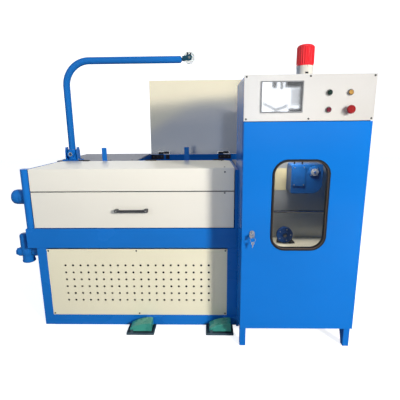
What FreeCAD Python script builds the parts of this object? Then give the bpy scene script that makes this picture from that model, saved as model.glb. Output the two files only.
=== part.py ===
import FreeCAD, Part
import os
import re
import Sketcher

# Fine wire drawing machine: a drawing tank on a sheet metal base, with a take-up cabinet at its
# right end. Millimetres, +Z up, the operator stands at -Y. Every place is set out from the
# cabinet's front left corner on the floor, which lies at (datum_x, datum_y) from the origin.
# The origin is on the floor, under the middle of the machine's overall box.

SIZES = {
    # set-out
    "datum_x": 380.35,
    "datum_y": -687.22,
    # take-up cabinet
    "cabinet_width": 640,
    "cabinet_depth": 380,
    "cabinet_height": 1492,
    "cabinet_sheet": 4,
    "cabinet_foot": 127,
    "leg_size": 34,
    "leg_inset": 4,
    "leg_setback": 23,
    "leg_brace": 48,
    "brace_sheet": 4,
    "brace_low": 10,
    "panel_height": 220,
    "panel_sheet": 3,
    "panel_rim": 8,
    "surround_wall": 20,
    # door
    "door_thickness": 25,
    "door_margin": 2,
    "door_seam": 3,
    "door_back_gap": 5,
    "window_left": 160,
    "window_bottom": 605,
    "window_width": 285,
    "window_tall": 479,
    "window_corner": 75,
    "gasket_lip": 6,
    "gasket_wall": 7,
    "gasket_proud": 5,
    "glass_thickness": 5,
    "glass_set_in": 8,
    "lock_x": 57,
    "lock_z": 692,
    "lock_plate_width": 28,
    "lock_plate_tall": 44,
    "lock_plate_thickness": 5,
    "lock_barrel_radius": 10,
    "lock_barrel_length": 12,
    "key_bow_radius": 12,
    "key_thickness": 2.4,
    "key_shank": 8,
    "key_ring_radius": 14,
    "key_wire": 2,
    "key_blade_width": 8,
    "key_blade_length": 34,
    "hinge_offset": 5.5,
    "hinge_radius": 4.8,
    "hinge_pin_radius": 3,
    "hinge_fit": 0.3,
    "hinge_knuckle": 32,
    "hinge_leaf": 3,
    "hinge_leaf_width": 28,
    "door_hinge_low": 96,
    "door_hinge_high": 160,
    # controls
    "screen_left": 82,
    "screen_bottom": 1320,
    "screen_width": 206,
    "screen_tall": 149,
    "screen_proud": 7,
    "button_left_x": 414,
    "button_right_x": 515,
    "button_top_z": 1413,
    "button_low_z": 1332,
    "bezel_radius": 15,
    "bezel_proud": 10,
    "bezel_bore": 11.6,
    "button_radius": 11,
    "button_proud": 14,
    "button_set_in": 5.5,
    "stop_head_radius": 21,
    "stop_face_radius": 17,
    "stop_head_depth": 14,
    "stop_stem_radius": 9,
    "stop_reach": 34,
    # signal lamp
    "lamp_x": 316,
    "lamp_y": 100,
    "lamp_foot_radius": 42,
    "lamp_foot_tall": 59,
    "lamp_radius": 43.5,
    "lamp_tall": 104,
    "lamp_dome_radius": 80,
    # inside the cabinet
    "lining_gap": 14,
    "lining_sheet": 2,
    "tray_z": 545,
    "tray_sheet": 3,
    "tray_front": 110,
    "guide_box_left": 315,
    "guide_box_right": 500,
    "guide_box_bottom": 862,
    "guide_box_top": 1035,
    "guide_box_front": 255,
    "guide_wheel_x": 448,
    "guide_wheel_z": 990,
    "guide_wheel_radius": 21,
    "guide_wheel_width": 10,
    "traverse_z": 742,
    "traverse_y": 285,
    "traverse_radius": 8,
    "spool_x": 292,
    "spool_z": 604,
    "spool_radius": 49,
    "spool_front": 245,
    "spool_width": 22,
    "spindle_radius": 12,
    "wheel_bore_fit": 0.3,
    # body of the machine
    "body_setback": 227,
    "body_length": 1299,
    "beam_overhang": 1,
    "beam_depth": 40,
    "beam_bottom": 527,
    "beam_top": 652,
    "base_inset": 57,
    "upright_left": 57,
    "upright_right": 60,
    "bottom_beam": 70,
    "perforated_gap": 7,
    "perforated_recess": 3,
    "perforated_sheet": 2,
    "hole_column_pitch": 284.4,
    "hole_row_pitch": 94.8,
    "hole_radius": 6,
    "hole_side_margin": 110,
    "hole_top_margin": 108,
    "bed_top": 560,
    "bed_thickness": 12,
    "body_back": 1374,
    "shell_sheet": 4,
    "wall_top": 1010,
    "deck_thickness": 8,
    "deck_seam": 2,
    "post_width": 51,
    "post_depth": 53,
    "right_wall": 17,
    "partition_y": 692,
    "rail_depth": 54,
    "rail_thickness": 8,
    "compartment_left": 702,
    "rear_right_inset": 4,
    # drawing cones in the tank
    "cone_inset": 219,
    "cone_pitch": 290,
    "cone_z": 790,
    "cone_radius": 92,
    "cone_drop": 9,
    "cone_step": 26,
    "cone_boss_radius": 55,
    "cone_boss": 24,
    # covers
    "cover_gap": 5,
    "cover_sheet": 3,
    "cover_front": 232,
    "cover_top": 1019,
    "cover_back": 706,
    "seam_z": 882,
    "seam_half": 2,
    "flap_bottom": 657,
    "cover_axis_y": 713,
    "cover_axis_z": 1021,
    "cover_knuckle_radius": 5,
    "cover_pin_radius": 2.5,
    "cover_knuckle": 40,
    "cover_leaf": 2,
    "cover_hinge_seat": 4,
    "cover_leaf_width": 26,
    "cover_hinge_inset": 179,
    "cover_hinge_pitch": 490,
    "flap_knuckle_radius": 1.9,
    "flap_pin_radius": 1,
    "flap_fit": 0.1,
    "flap_leaf": 1.5,
    "flap_leaf_tall": 18,
    "handle_x": 637,
    "handle_z": 768,
    "handle_length": 200,
    "handle_tall": 20,
    "handle_bar": 9,
    "handle_reach": 36,
    "handle_foot": 22,
    # rear cover, which stands open
    "rear_cover_inset": 40,
    "rear_axis_y": 1386,
    "rear_axis_z": 1024,
    "rear_cover_start": -14,
    "rear_cover_tall": 653,
    "rear_notch_top": 10,
    "rear_notch_gap": 2,
    "rear_cover_lean": 3,
    "rear_hinge_inset": 70,
    "rear_hinge_pitch": 550,
    "rear_knuckle_radius": 7,
    "rear_pin_radius": 3.5,
    "rear_knuckle": 50,
    "rear_leaf": 3,
    "rear_leaf_tall": 40,
    # lid stops
    "stop_width": 35,
    "stop_left_inset": 364,
    "stop_right_inset": 331,
    "stop_tall": 102,
    "stop_sheet": 6,
    "stop_y": 731,
    "stop_foot": 28,
    # guide arm
    "arm_inset": 109,
    "arm_y": 787,
    "arm_radius": 24,
    "arm_bend": 175,
    "arm_z": 1718,
    "arm_end": 368,
    "arm_neck_radius": 9,
    "arm_fit": 0.3,
    "bracket_length": 128,
    "bracket_depth": 84,
    "bracket_plate": 8,
    "bracket_cheek": 6,
    "bracket_span": 90,
    "bracket_tall": 90,
    "bracket_cheek_depth": 62,
    "sleeve_wall": 7,
    "sleeve_tall": 72,
    "ring_radius": 25,
    "ring_bore": 12,
    "ring_depth": 16,
    "ring_z": 40,
    "wheel_x": 304,
    "wheel_z": 1729,
    "wheel_radius": 41,
    "wheel_width": 14,
    "wheel_groove": 7,
    "wheel_pin_radius": 6,
    "fork_gap": 5,
    "fork_rim_gap": 3,
    "fork_plate": 5,
    "fork_radius": 20,
    "finger_radius": 4,
    "finger_tall": 34,
    "finger_short": 27,
    # fittings on the left end
    "boss_y": 310,
    "boss_z": 838,
    "boss_radius": 47,
    "boss_reach": 98,
    "boss_dome_radius": 70,
    "drain_y": 300,
    "drain_z": 478,
    "drain_radius": 18,
    "drain_reach": 112,
    "plug_radius": 25,
    "plug_length": 26,
    "elbow_out": 41,
    "elbow_radius": 39.5,
    "elbow_bottom": 412,
    "riser_out": 53,
    "riser_radius": 30,
    "riser_top": 602,
    # foot pedals
    "pedal_left": 686,
    "pedal_pitch": 492,
    "pedal_front": 115,
    "pedal_length": 171,
    "pedal_depth": 108,
    "pedal_floor": 4,
    "pedal_rim": 14,
    "pedal_rim_wall": 6,
    "treadle_left": 22,
    "treadle_length": 134,
    "treadle_front": 11,
    "treadle_depth": 76,
    "treadle_bottom": 20,
    "treadle_top": 72,
    "treadle_crown": 118,
    "treadle_curve": 227,
    "treadle_pin_z": 24,
    "treadle_pin_radius": 4,
    "treadle_pin_in": 12,
    "gusset_left": 110,
    "gusset_right": 214,
    "gusset_foot": 171,
    "gusset_tall": 66,
    "gusset_depth": 14,
}

doc = FreeCAD.newDocument("wire_drawing_machine")
sheet = doc.addObject("Spreadsheet::Sheet", "Sizes")
for row, (alias, value) in enumerate(SIZES.items(), start=1):
    sheet.set(f"A{row}", alias)
    sheet.set(f"B{row}", str(value))
    sheet.setAlias(f"B{row}", alias)
doc.recompute()

NODES = []
PLACES = {}


# ---- how pieces are made: every size and place is a formula on the sheet's cells ----

def formula(text):
    """The text with each size's name turned into a reference to its cell."""
    return re.sub(r"[a-z][a-z_]+", lambda word: "Sizes." + word.group()
                  if word.group() in SIZES else word.group(), text)


def bind(piece, prop, text):
    piece.setExpression(prop, formula(text))


def put(piece, x, y, z):
    """Places a piece from the cabinet's front left corner."""
    PLACES[piece.Name] = (x, y, z)
    for axis, text in zip("xyz", (x, y, z)):
        bind(piece, "Placement.Base." + axis, text)
    return piece


def make(kind, name):
    piece = doc.addObject(kind, name)
    piece.Label = name
    return piece


def node(piece):
    """Makes a piece one of the machine's sub-parts, set out from the origin."""
    x, y, z = PLACES.get(piece.Name, ("0", "0", "0"))
    put(piece, f"datum_x + ({x})", f"datum_y + ({y})", z)
    NODES.append(piece)
    return piece


def brace(name, x, y, low, top):
    """A plate that faces sideways and gets less tall from its front edge to its back one."""
    piece = make("Part::Wedge", name)
    for prop, text in (("Xmin", x[0]), ("Xmax", x[1]), ("X2min", x[0]), ("X2max", x[1]),
                       ("Ymin", y[0]), ("Ymax", y[1]), ("Zmin", low[0]), ("Z2min", low[1]),
                       ("Zmax", top), ("Z2max", top)):
        bind(piece, prop, text)
    return piece


def slab(name, x, y, z):
    """A rectangular block between two faces along each axis."""
    piece = make("Part::Box", name)
    for prop, (low, high) in (("Length", x), ("Width", y), ("Height", z)):
        bind(piece, prop, f"({high}) - ({low})")
    return put(piece, x[0], y[0], z[0])


TURNS = {
    "x": FreeCAD.Rotation(FreeCAD.Vector(0, 1, 0), 90),
    "y": FreeCAD.Rotation(FreeCAD.Vector(1, 0, 0), -90),
    "z": FreeCAD.Rotation(),
}


def lay(piece, axis, centre, start):
    """Turns a round piece's axis along x, y or z and puts its start face in place."""
    piece.Placement.Rotation = TURNS[axis]
    first, second = centre
    places = {"x": (start, first, second), "y": (first, start, second), "z": (first, second, start)}
    return put(piece, *places[axis])


def rod(name, axis, centre, span, radius):
    piece = make("Part::Cylinder", name)
    bind(piece, "Radius", radius)
    bind(piece, "Height", f"({span[1]}) - ({span[0]})")
    return lay(piece, axis, centre, span[0])


def taper(name, axis, centre, span, start_radius, end_radius):
    piece = make("Part::Cone", name)
    bind(piece, "Radius1", start_radius)
    bind(piece, "Radius2", end_radius)
    bind(piece, "Height", f"({span[1]}) - ({span[0]})")
    return lay(piece, axis, centre, span[0])


def ball(name, centre, radius):
    piece = make("Part::Sphere", name)
    bind(piece, "Radius", radius)
    return put(piece, *centre)


def fuse(name, pieces):
    piece = make("Part::MultiFuse", name)
    piece.Shapes = pieces
    piece.Refine = True
    return piece


def cut(name, base, tools):
    piece = make("Part::Cut", name)
    piece.Base = base
    piece.Tool = tools[0] if len(tools) == 1 else fuse(name + "_cutters", tools)
    piece.Refine = True
    return piece


def common(name, first, second):
    piece = make("Part::MultiCommon", name)
    piece.Shapes = [first, second]
    piece.Refine = True
    return piece


def rounded_slab(name, x, y, z, corner):
    """A block whose four edges along y are rounded."""
    inner_x = (f"{x[0]} + {corner}", f"{x[1]} - ({corner})")
    inner_z = (f"{z[0]} + {corner}", f"{z[1]} - ({corner})")
    parts = [slab(name + "_wide", x, y, inner_z), slab(name + "_tall", inner_x, y, z)]
    for column in (0, 1):
        for row in (0, 1):
            parts.append(rod(f"{name}_corner_{column}{row}", "y",
                             (inner_x[column], inner_z[row]), y, corner))
    return fuse(name, parts)


def extrusion(name, outline, y):
    """A PartDesign body: an outline of (x, z) formulas, padded along y."""
    body = make("PartDesign::Body", name)
    plane = next(f for f in body.Origin.OriginFeatures if f.Role == "XZ_Plane")
    sketch = body.newObject("Sketcher::SketchObject", name + "_outline")
    sketch.AttachmentSupport = [(plane, "")]
    sketch.MapMode = "FlatFace"
    guess = [(40 * index, 40 * index * index + 10) for index in range(len(outline))]
    for index, start in enumerate(guess):
        end = guess[(index + 1) % len(guess)]
        sketch.addGeometry(Part.LineSegment(FreeCAD.Vector(*start, 0), FreeCAD.Vector(*end, 0)))
    for index in range(len(outline)):
        after = (index + 1) % len(outline)
        sketch.addConstraint(Sketcher.Constraint("Coincident", index, 2, after, 1))
    for index, point in enumerate(outline):
        for kind, text, value in zip(("DistanceX", "DistanceY"), point, guess[index]):
            place = sketch.addConstraint(Sketcher.Constraint(kind, -1, 1, index, 1, value))
            bind(sketch, f"Constraints[{place}]", text)
    pad = body.newObject("PartDesign::Pad", name + "_pad")
    pad.Profile = sketch
    pad.Reversed = True
    bind(pad, "Length", f"({y[1]}) - ({y[0]})")
    body.Tip = pad
    return put(body, "0", y[0], "0")


# ---- how many of each like piece ----

HINGES = 3
CONES = 4
CONE_STEPS = 5
HOLE_COLUMNS = 4
HOLE_ROWS = 3

# ---- levels and lines that several pieces share ----

BODY_LEFT = "-body_length"
BASE_LEFT = "-(body_length - base_inset)"
BEAM_BACK = "body_setback + beam_depth"
BED_BOTTOM = "bed_top - bed_thickness"
DECK_TOP = "wall_top + deck_thickness"
PARTITION_BACK = "partition_y + shell_sheet"
RAIL_BACK = "partition_y + rail_depth"
REAR_RIGHT = "cabinet_width - rear_right_inset"
BACK_OUTER = "body_back + shell_sheet"
CARCASS_FRONT = "door_thickness + door_back_gap"
PANEL_TOP = "cabinet_height + panel_rim"
PANEL_BOTTOM = f"{PANEL_TOP} - panel_height"
DOOR_TOP = f"{PANEL_BOTTOM} - door_seam"
DOOR_RIGHT = "cabinet_width - door_margin"
BACK_INNER = "cabinet_depth - cabinet_sheet"
LINING_FRONT = "cabinet_depth - lining_gap - lining_sheet"
LINING_BACK = "cabinet_depth - lining_gap"
COVER_LEFT = "-(body_length - post_width - cover_gap)"
COVER_RIGHT = "-(right_wall + cover_gap)"
COVER_SKIN = "cover_front + cover_sheet"
ARM_X = f"{BODY_LEFT} + arm_inset"


# ---- base ----

def pedal_gussets():
    """The plates on the bottom beam that the foot pedals are held by."""
    gussets = []
    for number, side in enumerate(("left", "right")):
        start = f"-(pedal_left - {number} * pedal_pitch)"
        gussets.append(extrusion(f"gusset_{side}", [
            (f"{start} + gusset_left", "pedal_rim"),
            (f"{start} + gusset_foot", "pedal_rim"),
            (f"{start} + gusset_right", "gusset_tall"),
            (f"{start} + gusset_left", "gusset_tall"),
        ], ("body_setback - gusset_depth", "body_setback")))
    return gussets


def base():
    uprights = [
        slab("upright_left_post", (BASE_LEFT, f"{BASE_LEFT} + upright_left"),
             ("body_setback", BEAM_BACK), ("0", "beam_bottom")),
        slab("upright_right_post", ("-upright_right", "0"),
             ("body_setback", BEAM_BACK), ("0", "beam_bottom")),
    ]
    node(fuse("base_uprights", uprights))
    sheet_x = (f"{BASE_LEFT} + upright_left", "-upright_right")
    beam = slab("bottom_beam_bar", sheet_x, ("body_setback", BEAM_BACK), ("0", "bottom_beam"))
    node(fuse("base_bottom_beam", [beam] + pedal_gussets()))

    front = "body_setback + perforated_recess"
    blank = slab("perforated_blank", sheet_x, (front, f"{front} + perforated_sheet"),
                 ("bottom_beam", "beam_bottom - perforated_gap"))
    # twelve of the hundred and twenty holes: every sixth column and every second row
    holes = []
    for column in range(HOLE_COLUMNS):
        for row in range(HOLE_ROWS):
            x = f"{sheet_x[0]} + hole_side_margin + {column} * hole_column_pitch"
            z = f"beam_bottom - perforated_gap - hole_top_margin - {row} * hole_row_pitch"
            holes.append(rod(f"perforation_{column}{row}", "y", (x, z),
                             (f"{front} - 1", f"{front} + perforated_sheet + 1"), "hole_radius"))
    node(cut("perforated_panel", blank, holes))

    sides = [
        slab("base_side_left", (BASE_LEFT, f"{BASE_LEFT} + shell_sheet"),
             (BEAM_BACK, "body_back"), ("0", BED_BOTTOM)),
        slab("base_side_right", ("-shell_sheet", "0"),
             (BEAM_BACK, "cabinet_depth"), ("0", BED_BOTTOM)),
    ]
    node(fuse("base_side_panels", sides))


# ---- bed, tank and rear compartment ----

def tank():
    node(slab("bed_beam", (f"{BODY_LEFT} - beam_overhang", "0"),
              ("body_setback", BEAM_BACK), ("beam_bottom", "beam_top")))
    bed = [
        slab("bed_under_tank", (BODY_LEFT, "0"), (BEAM_BACK, "body_back"), (BED_BOTTOM, "bed_top")),
        slab("bed_behind_cabinet", ("0", f"{REAR_RIGHT} - shell_sheet"),
             ("cabinet_depth + shell_sheet", "body_back"), (BED_BOTTOM, "bed_top")),
    ]
    node(fuse("bed_plate", bed))

    post_x = f"{BODY_LEFT} + post_width / 2"
    post_y = "body_setback + post_width / 2"
    left_end = [
        rod("post_nose", "z", (post_x, post_y), ("beam_top", "cover_top"), "post_width / 2"),
        slab("post_block", (BODY_LEFT, f"{BODY_LEFT} + post_width"),
             (post_y, "body_setback + post_depth"), ("beam_top", "cover_top")),
        slab("left_plate", (BODY_LEFT, f"{BODY_LEFT} + shell_sheet"),
             (BEAM_BACK, "body_back"), ("bed_top", "wall_top")),
    ]
    node(fuse("left_end_wall", left_end))
    node(fuse("right_end_wall", [
        slab("right_wall_plate", ("-right_wall", "0"), ("cover_front", "partition_y"),
             ("beam_top", "wall_top")),
        slab("right_wall_foot", ("-right_wall", "0"), (BEAM_BACK, "partition_y"),
             ("bed_top", "beam_top")),
    ]))

    partition = [
        slab("partition_plate", (f"{BODY_LEFT} + shell_sheet", "0"),
             ("partition_y", PARTITION_BACK), ("bed_top", "wall_top")),
        slab("hinge_rail", (f"{BODY_LEFT} + shell_sheet", "0"),
             ("partition_y", RAIL_BACK), ("wall_top - rail_thickness", "wall_top")),
        slab("compartment_side", ("-(compartment_left + shell_sheet)", "-compartment_left"),
             ("partition_y", "body_back"), ("bed_top", "wall_top")),
    ]
    node(fuse("tank_partition", partition))

    back = [
        slab("back_upper", (BODY_LEFT, REAR_RIGHT), ("body_back", BACK_OUTER),
             (BED_BOTTOM, "wall_top")),
        slab("back_lower", (BASE_LEFT, REAR_RIGHT), ("body_back", BACK_OUTER), ("0", BED_BOTTOM)),
    ]
    node(fuse("back_panel", back))
    rear = [
        slab("rear_front_sheet", ("0", REAR_RIGHT),
             ("cabinet_depth", "cabinet_depth + shell_sheet"), ("0", "wall_top")),
        slab("rear_right_sheet", (f"{REAR_RIGHT} - shell_sheet", REAR_RIGHT),
             ("cabinet_depth", "body_back"), ("0", "wall_top")),
    ]
    node(fuse("rear_housing", rear))
    decks = [
        slab("deck_left", (BODY_LEFT, "-compartment_left"),
             (f"{RAIL_BACK} + deck_seam", BACK_OUTER), ("wall_top", DECK_TOP)),
        slab("deck_right", ("0", REAR_RIGHT), ("cabinet_depth", RAIL_BACK),
             ("wall_top", DECK_TOP)),
    ]
    node(fuse("rear_decks", decks))


def cones():
    pieces = []
    for number in range(CONES):
        centre = (f"{BODY_LEFT} + cone_inset + {number} * cone_pitch", "cone_z")
        boss_front = "partition_y - cone_boss"
        steps = [rod(f"cone_boss_{number}", "y", centre, (boss_front, "partition_y"),
                     "cone_boss_radius")]
        for step in range(CONE_STEPS):
            span = (f"{boss_front} - {step + 1} * cone_step", f"{boss_front} - {step} * cone_step")
            steps.append(rod(f"cone_step_{number}{step}", "y", centre, span,
                             f"cone_radius - {step} * cone_drop"))
        pieces.append(fuse(f"cone_{number}", steps))
    node(fuse("drawing_cones", pieces))


# ---- hinges: a fixed knuckle with its pin, and the moving knuckle that turns on it ----

def knuckle_pair(name, axis, centre, start, length, radius, pin, fit="hinge_fit"):
    """Returns the fixed knuckle with its pin, and the moving knuckle beside it."""
    middle = f"{start} + {length}"
    end = f"{start} + 2 * {length}"
    fixed = [
        rod(name + "_fixed", axis, centre, (start, middle), radius),
        rod(name + "_pin", axis, centre, (middle, end), pin),
    ]
    sleeve = rod(name + "_sleeve", axis, centre, (f"{middle} + hinge_fit", end), radius)
    bore = rod(name + "_bore", axis, centre, (middle, f"{end} + 1"), f"{pin} + {fit}")
    return fixed, cut(name + "_moving", sleeve, [bore])


# ---- top cover and front flap ----

def covers():
    axis = ("cover_axis_y", "cover_axis_z")
    fixed_parts = []
    lid_parts = [
        slab("lid_top", (COVER_LEFT, COVER_RIGHT), ("cover_front", "cover_back"),
             ("cover_top - cover_sheet", "cover_top")),
        slab("lid_front", (COVER_LEFT, COVER_RIGHT), ("cover_front", COVER_SKIN),
             ("seam_z + seam_half", "cover_top")),
    ]
    for number in range(HINGES):
        start = f"{BODY_LEFT} + cover_hinge_inset + {number} * cover_hinge_pitch"
        fixed, moving = knuckle_pair(f"lid_hinge_{number}", "x", axis, start, "cover_knuckle",
                                     "cover_knuckle_radius", "cover_pin_radius")
        fixed.append(slab(f"lid_hinge_seat_{number}", (start, f"{start} + cover_knuckle"),
                          ("cover_axis_y - cover_hinge_seat / 2",
                           "cover_axis_y + cover_hinge_seat / 2"),
                          ("wall_top", "cover_axis_z")))
        fixed_parts.append(fuse(f"lid_hinge_fixed_{number}", fixed))
        leaf = slab(f"lid_hinge_leaf_{number}",
                    (f"{start} + cover_knuckle + hinge_fit", f"{start} + 2 * cover_knuckle"),
                    ("cover_axis_y - cover_leaf_width", "cover_axis_y - cover_knuckle_radius + 1"),
                    ("cover_top", "cover_top + cover_leaf"))
        lid_parts += [moving, leaf]
    node(fuse("lid_hinge_pins", fixed_parts))

    flap_axis = ("cover_front + cover_sheet / 2", "seam_z")
    leaf_y = (COVER_SKIN, f"{COVER_SKIN} + flap_leaf")
    flap_parts = [slab("flap_sheet", (COVER_LEFT, COVER_RIGHT), ("cover_front", COVER_SKIN),
                       ("flap_bottom", "seam_z - seam_half"))]
    for number in range(HINGES):
        start = f"{BODY_LEFT} + cover_hinge_inset + {number} * cover_hinge_pitch"
        middle = f"{start} + cover_knuckle"
        fixed, moving = knuckle_pair(f"flap_hinge_{number}", "x", flap_axis, start,
                                     "cover_knuckle", "flap_knuckle_radius", "flap_pin_radius",
                                     "flap_fit")
        lid_parts += fixed
        lid_parts.append(slab(f"flap_hinge_upper_{number}", (start, middle), leaf_y,
                              ("seam_z", "seam_z + flap_leaf_tall")))
        flap_parts.append(moving)
        flap_parts.append(slab(f"flap_hinge_lower_{number}",
                               (f"{middle} + hinge_fit", f"{middle} + cover_knuckle"), leaf_y,
                               ("seam_z - flap_leaf_tall", "seam_z")))
    node(fuse("top_cover", lid_parts))
    node(fuse("front_flap", flap_parts))

    low = "handle_z - handle_tall / 2"
    high = "handle_z + handle_tall / 2"
    left = "-(handle_x + handle_length / 2)"
    right = "-(handle_x - handle_length / 2)"
    front = "cover_front - handle_reach"
    handle = [
        slab("handle_left_foot", (left, f"{left} + handle_foot"), (front, "cover_front"), (low, high)),
        slab("handle_right_foot", (f"{right} - handle_foot", right), (front, "cover_front"),
             (low, high)),
        slab("handle_grip", (left, right), (front, f"{front} + handle_bar"), (low, high)),
    ]
    node(fuse("flap_handle", handle))


def rear_cover():
    axis = ("rear_axis_y", "rear_axis_z")
    fixed_parts = []
    for number in range(HINGES):
        start = f"rear_hinge_inset - compartment_left + {number} * rear_hinge_pitch"
        middle = f"{start} + rear_knuckle"
        fixed_parts.append(fuse(f"rear_hinge_fixed_{number}", [
            rod(f"rear_hinge_knuckle_{number}", "x", axis, (start, middle), "rear_knuckle_radius"),
            rod(f"rear_hinge_pin_{number}", "x", axis, (middle, f"{middle} + rear_knuckle"),
                "rear_pin_radius"),
            slab(f"rear_hinge_seat_{number}", (start, middle),
                 (BACK_OUTER, f"{BACK_OUTER} + rear_leaf"),
                 ("rear_axis_z - rear_leaf_tall", "rear_axis_z")),
            slab(f"rear_hinge_web_{number}", (start, middle), (BACK_OUTER, "rear_axis_y"),
                 ("rear_axis_z - rear_leaf", "rear_axis_z")),
        ]))
    node(fuse("rear_hinge_pins", fixed_parts))

    # the cover is built upright about its hinge line, then leant back
    sheet_back = "rear_knuckle_radius - rear_leaf"
    blank = slab(
        "rear_sheet_blank", ("-(compartment_left - deck_seam)", "cabinet_width - rear_cover_inset"),
        (f"{sheet_back} - cover_sheet", sheet_back),
        ("rear_cover_start", "rear_cover_start + rear_cover_tall"))
    notches = []
    for number in range(HINGES):
        left = f"rear_hinge_inset - compartment_left + {number} * rear_hinge_pitch"
        notches.append(slab(f"rear_notch_{number}",
                            (f"{left} - rear_notch_gap",
                             f"{left} + 2 * rear_knuckle + rear_notch_gap"),
                            ("-rear_knuckle_radius", "rear_knuckle_radius"),
                            ("rear_cover_start - 1", "rear_notch_top")))
    moving_parts = [cut("rear_sheet", blank, notches)]
    for number in range(HINGES):
        start = (f"rear_hinge_inset - compartment_left + {number} * rear_hinge_pitch"
                 " + rear_knuckle")
        end = f"{start} + rear_knuckle"
        sleeve = rod(f"rear_sleeve_{number}", "x", ("0", "0"), (f"{start} + hinge_fit", end),
                     "rear_knuckle_radius")
        bore = rod(f"rear_bore_{number}", "x", ("0", "0"), (start, f"{end} + 1"),
                   "rear_pin_radius + hinge_fit")
        moving_parts.append(cut(f"rear_knuckle_{number}", sleeve, [bore]))
        moving_parts.append(slab(f"rear_leaf_{number}", (f"{start} + hinge_fit", end),
                                 (sheet_back, "rear_knuckle_radius"), ("0", "rear_leaf_tall")))
    cover = fuse("rear_cover", moving_parts)
    cover.Placement.Rotation = FreeCAD.Rotation(FreeCAD.Vector(-1, 0, 0), 1)
    bind(cover, "Placement.Rotation.Angle", "rear_cover_lean")
    node(put(cover, "0", "rear_axis_y", "rear_axis_z"))


def lid_stops():
    pieces = []
    for name, middle in (("stop_left", f"{BODY_LEFT} + stop_left_inset"),
                         ("stop_right", "-stop_right_inset")):
        width = (f"{middle} - stop_width / 2", f"{middle} + stop_width / 2")
        pieces.append(fuse(name, [
            slab(name + "_foot", width, ("stop_y - stop_foot + stop_sheet", "stop_y + stop_sheet"),
                 ("wall_top", "wall_top + stop_sheet")),
            slab(name + "_bar", width, ("stop_y", "stop_y + stop_sheet"),
                 ("wall_top", "wall_top + stop_tall")),
        ]))
    node(fuse("lid_stops", pieces))


# ---- guide arm over the tank ----

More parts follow.
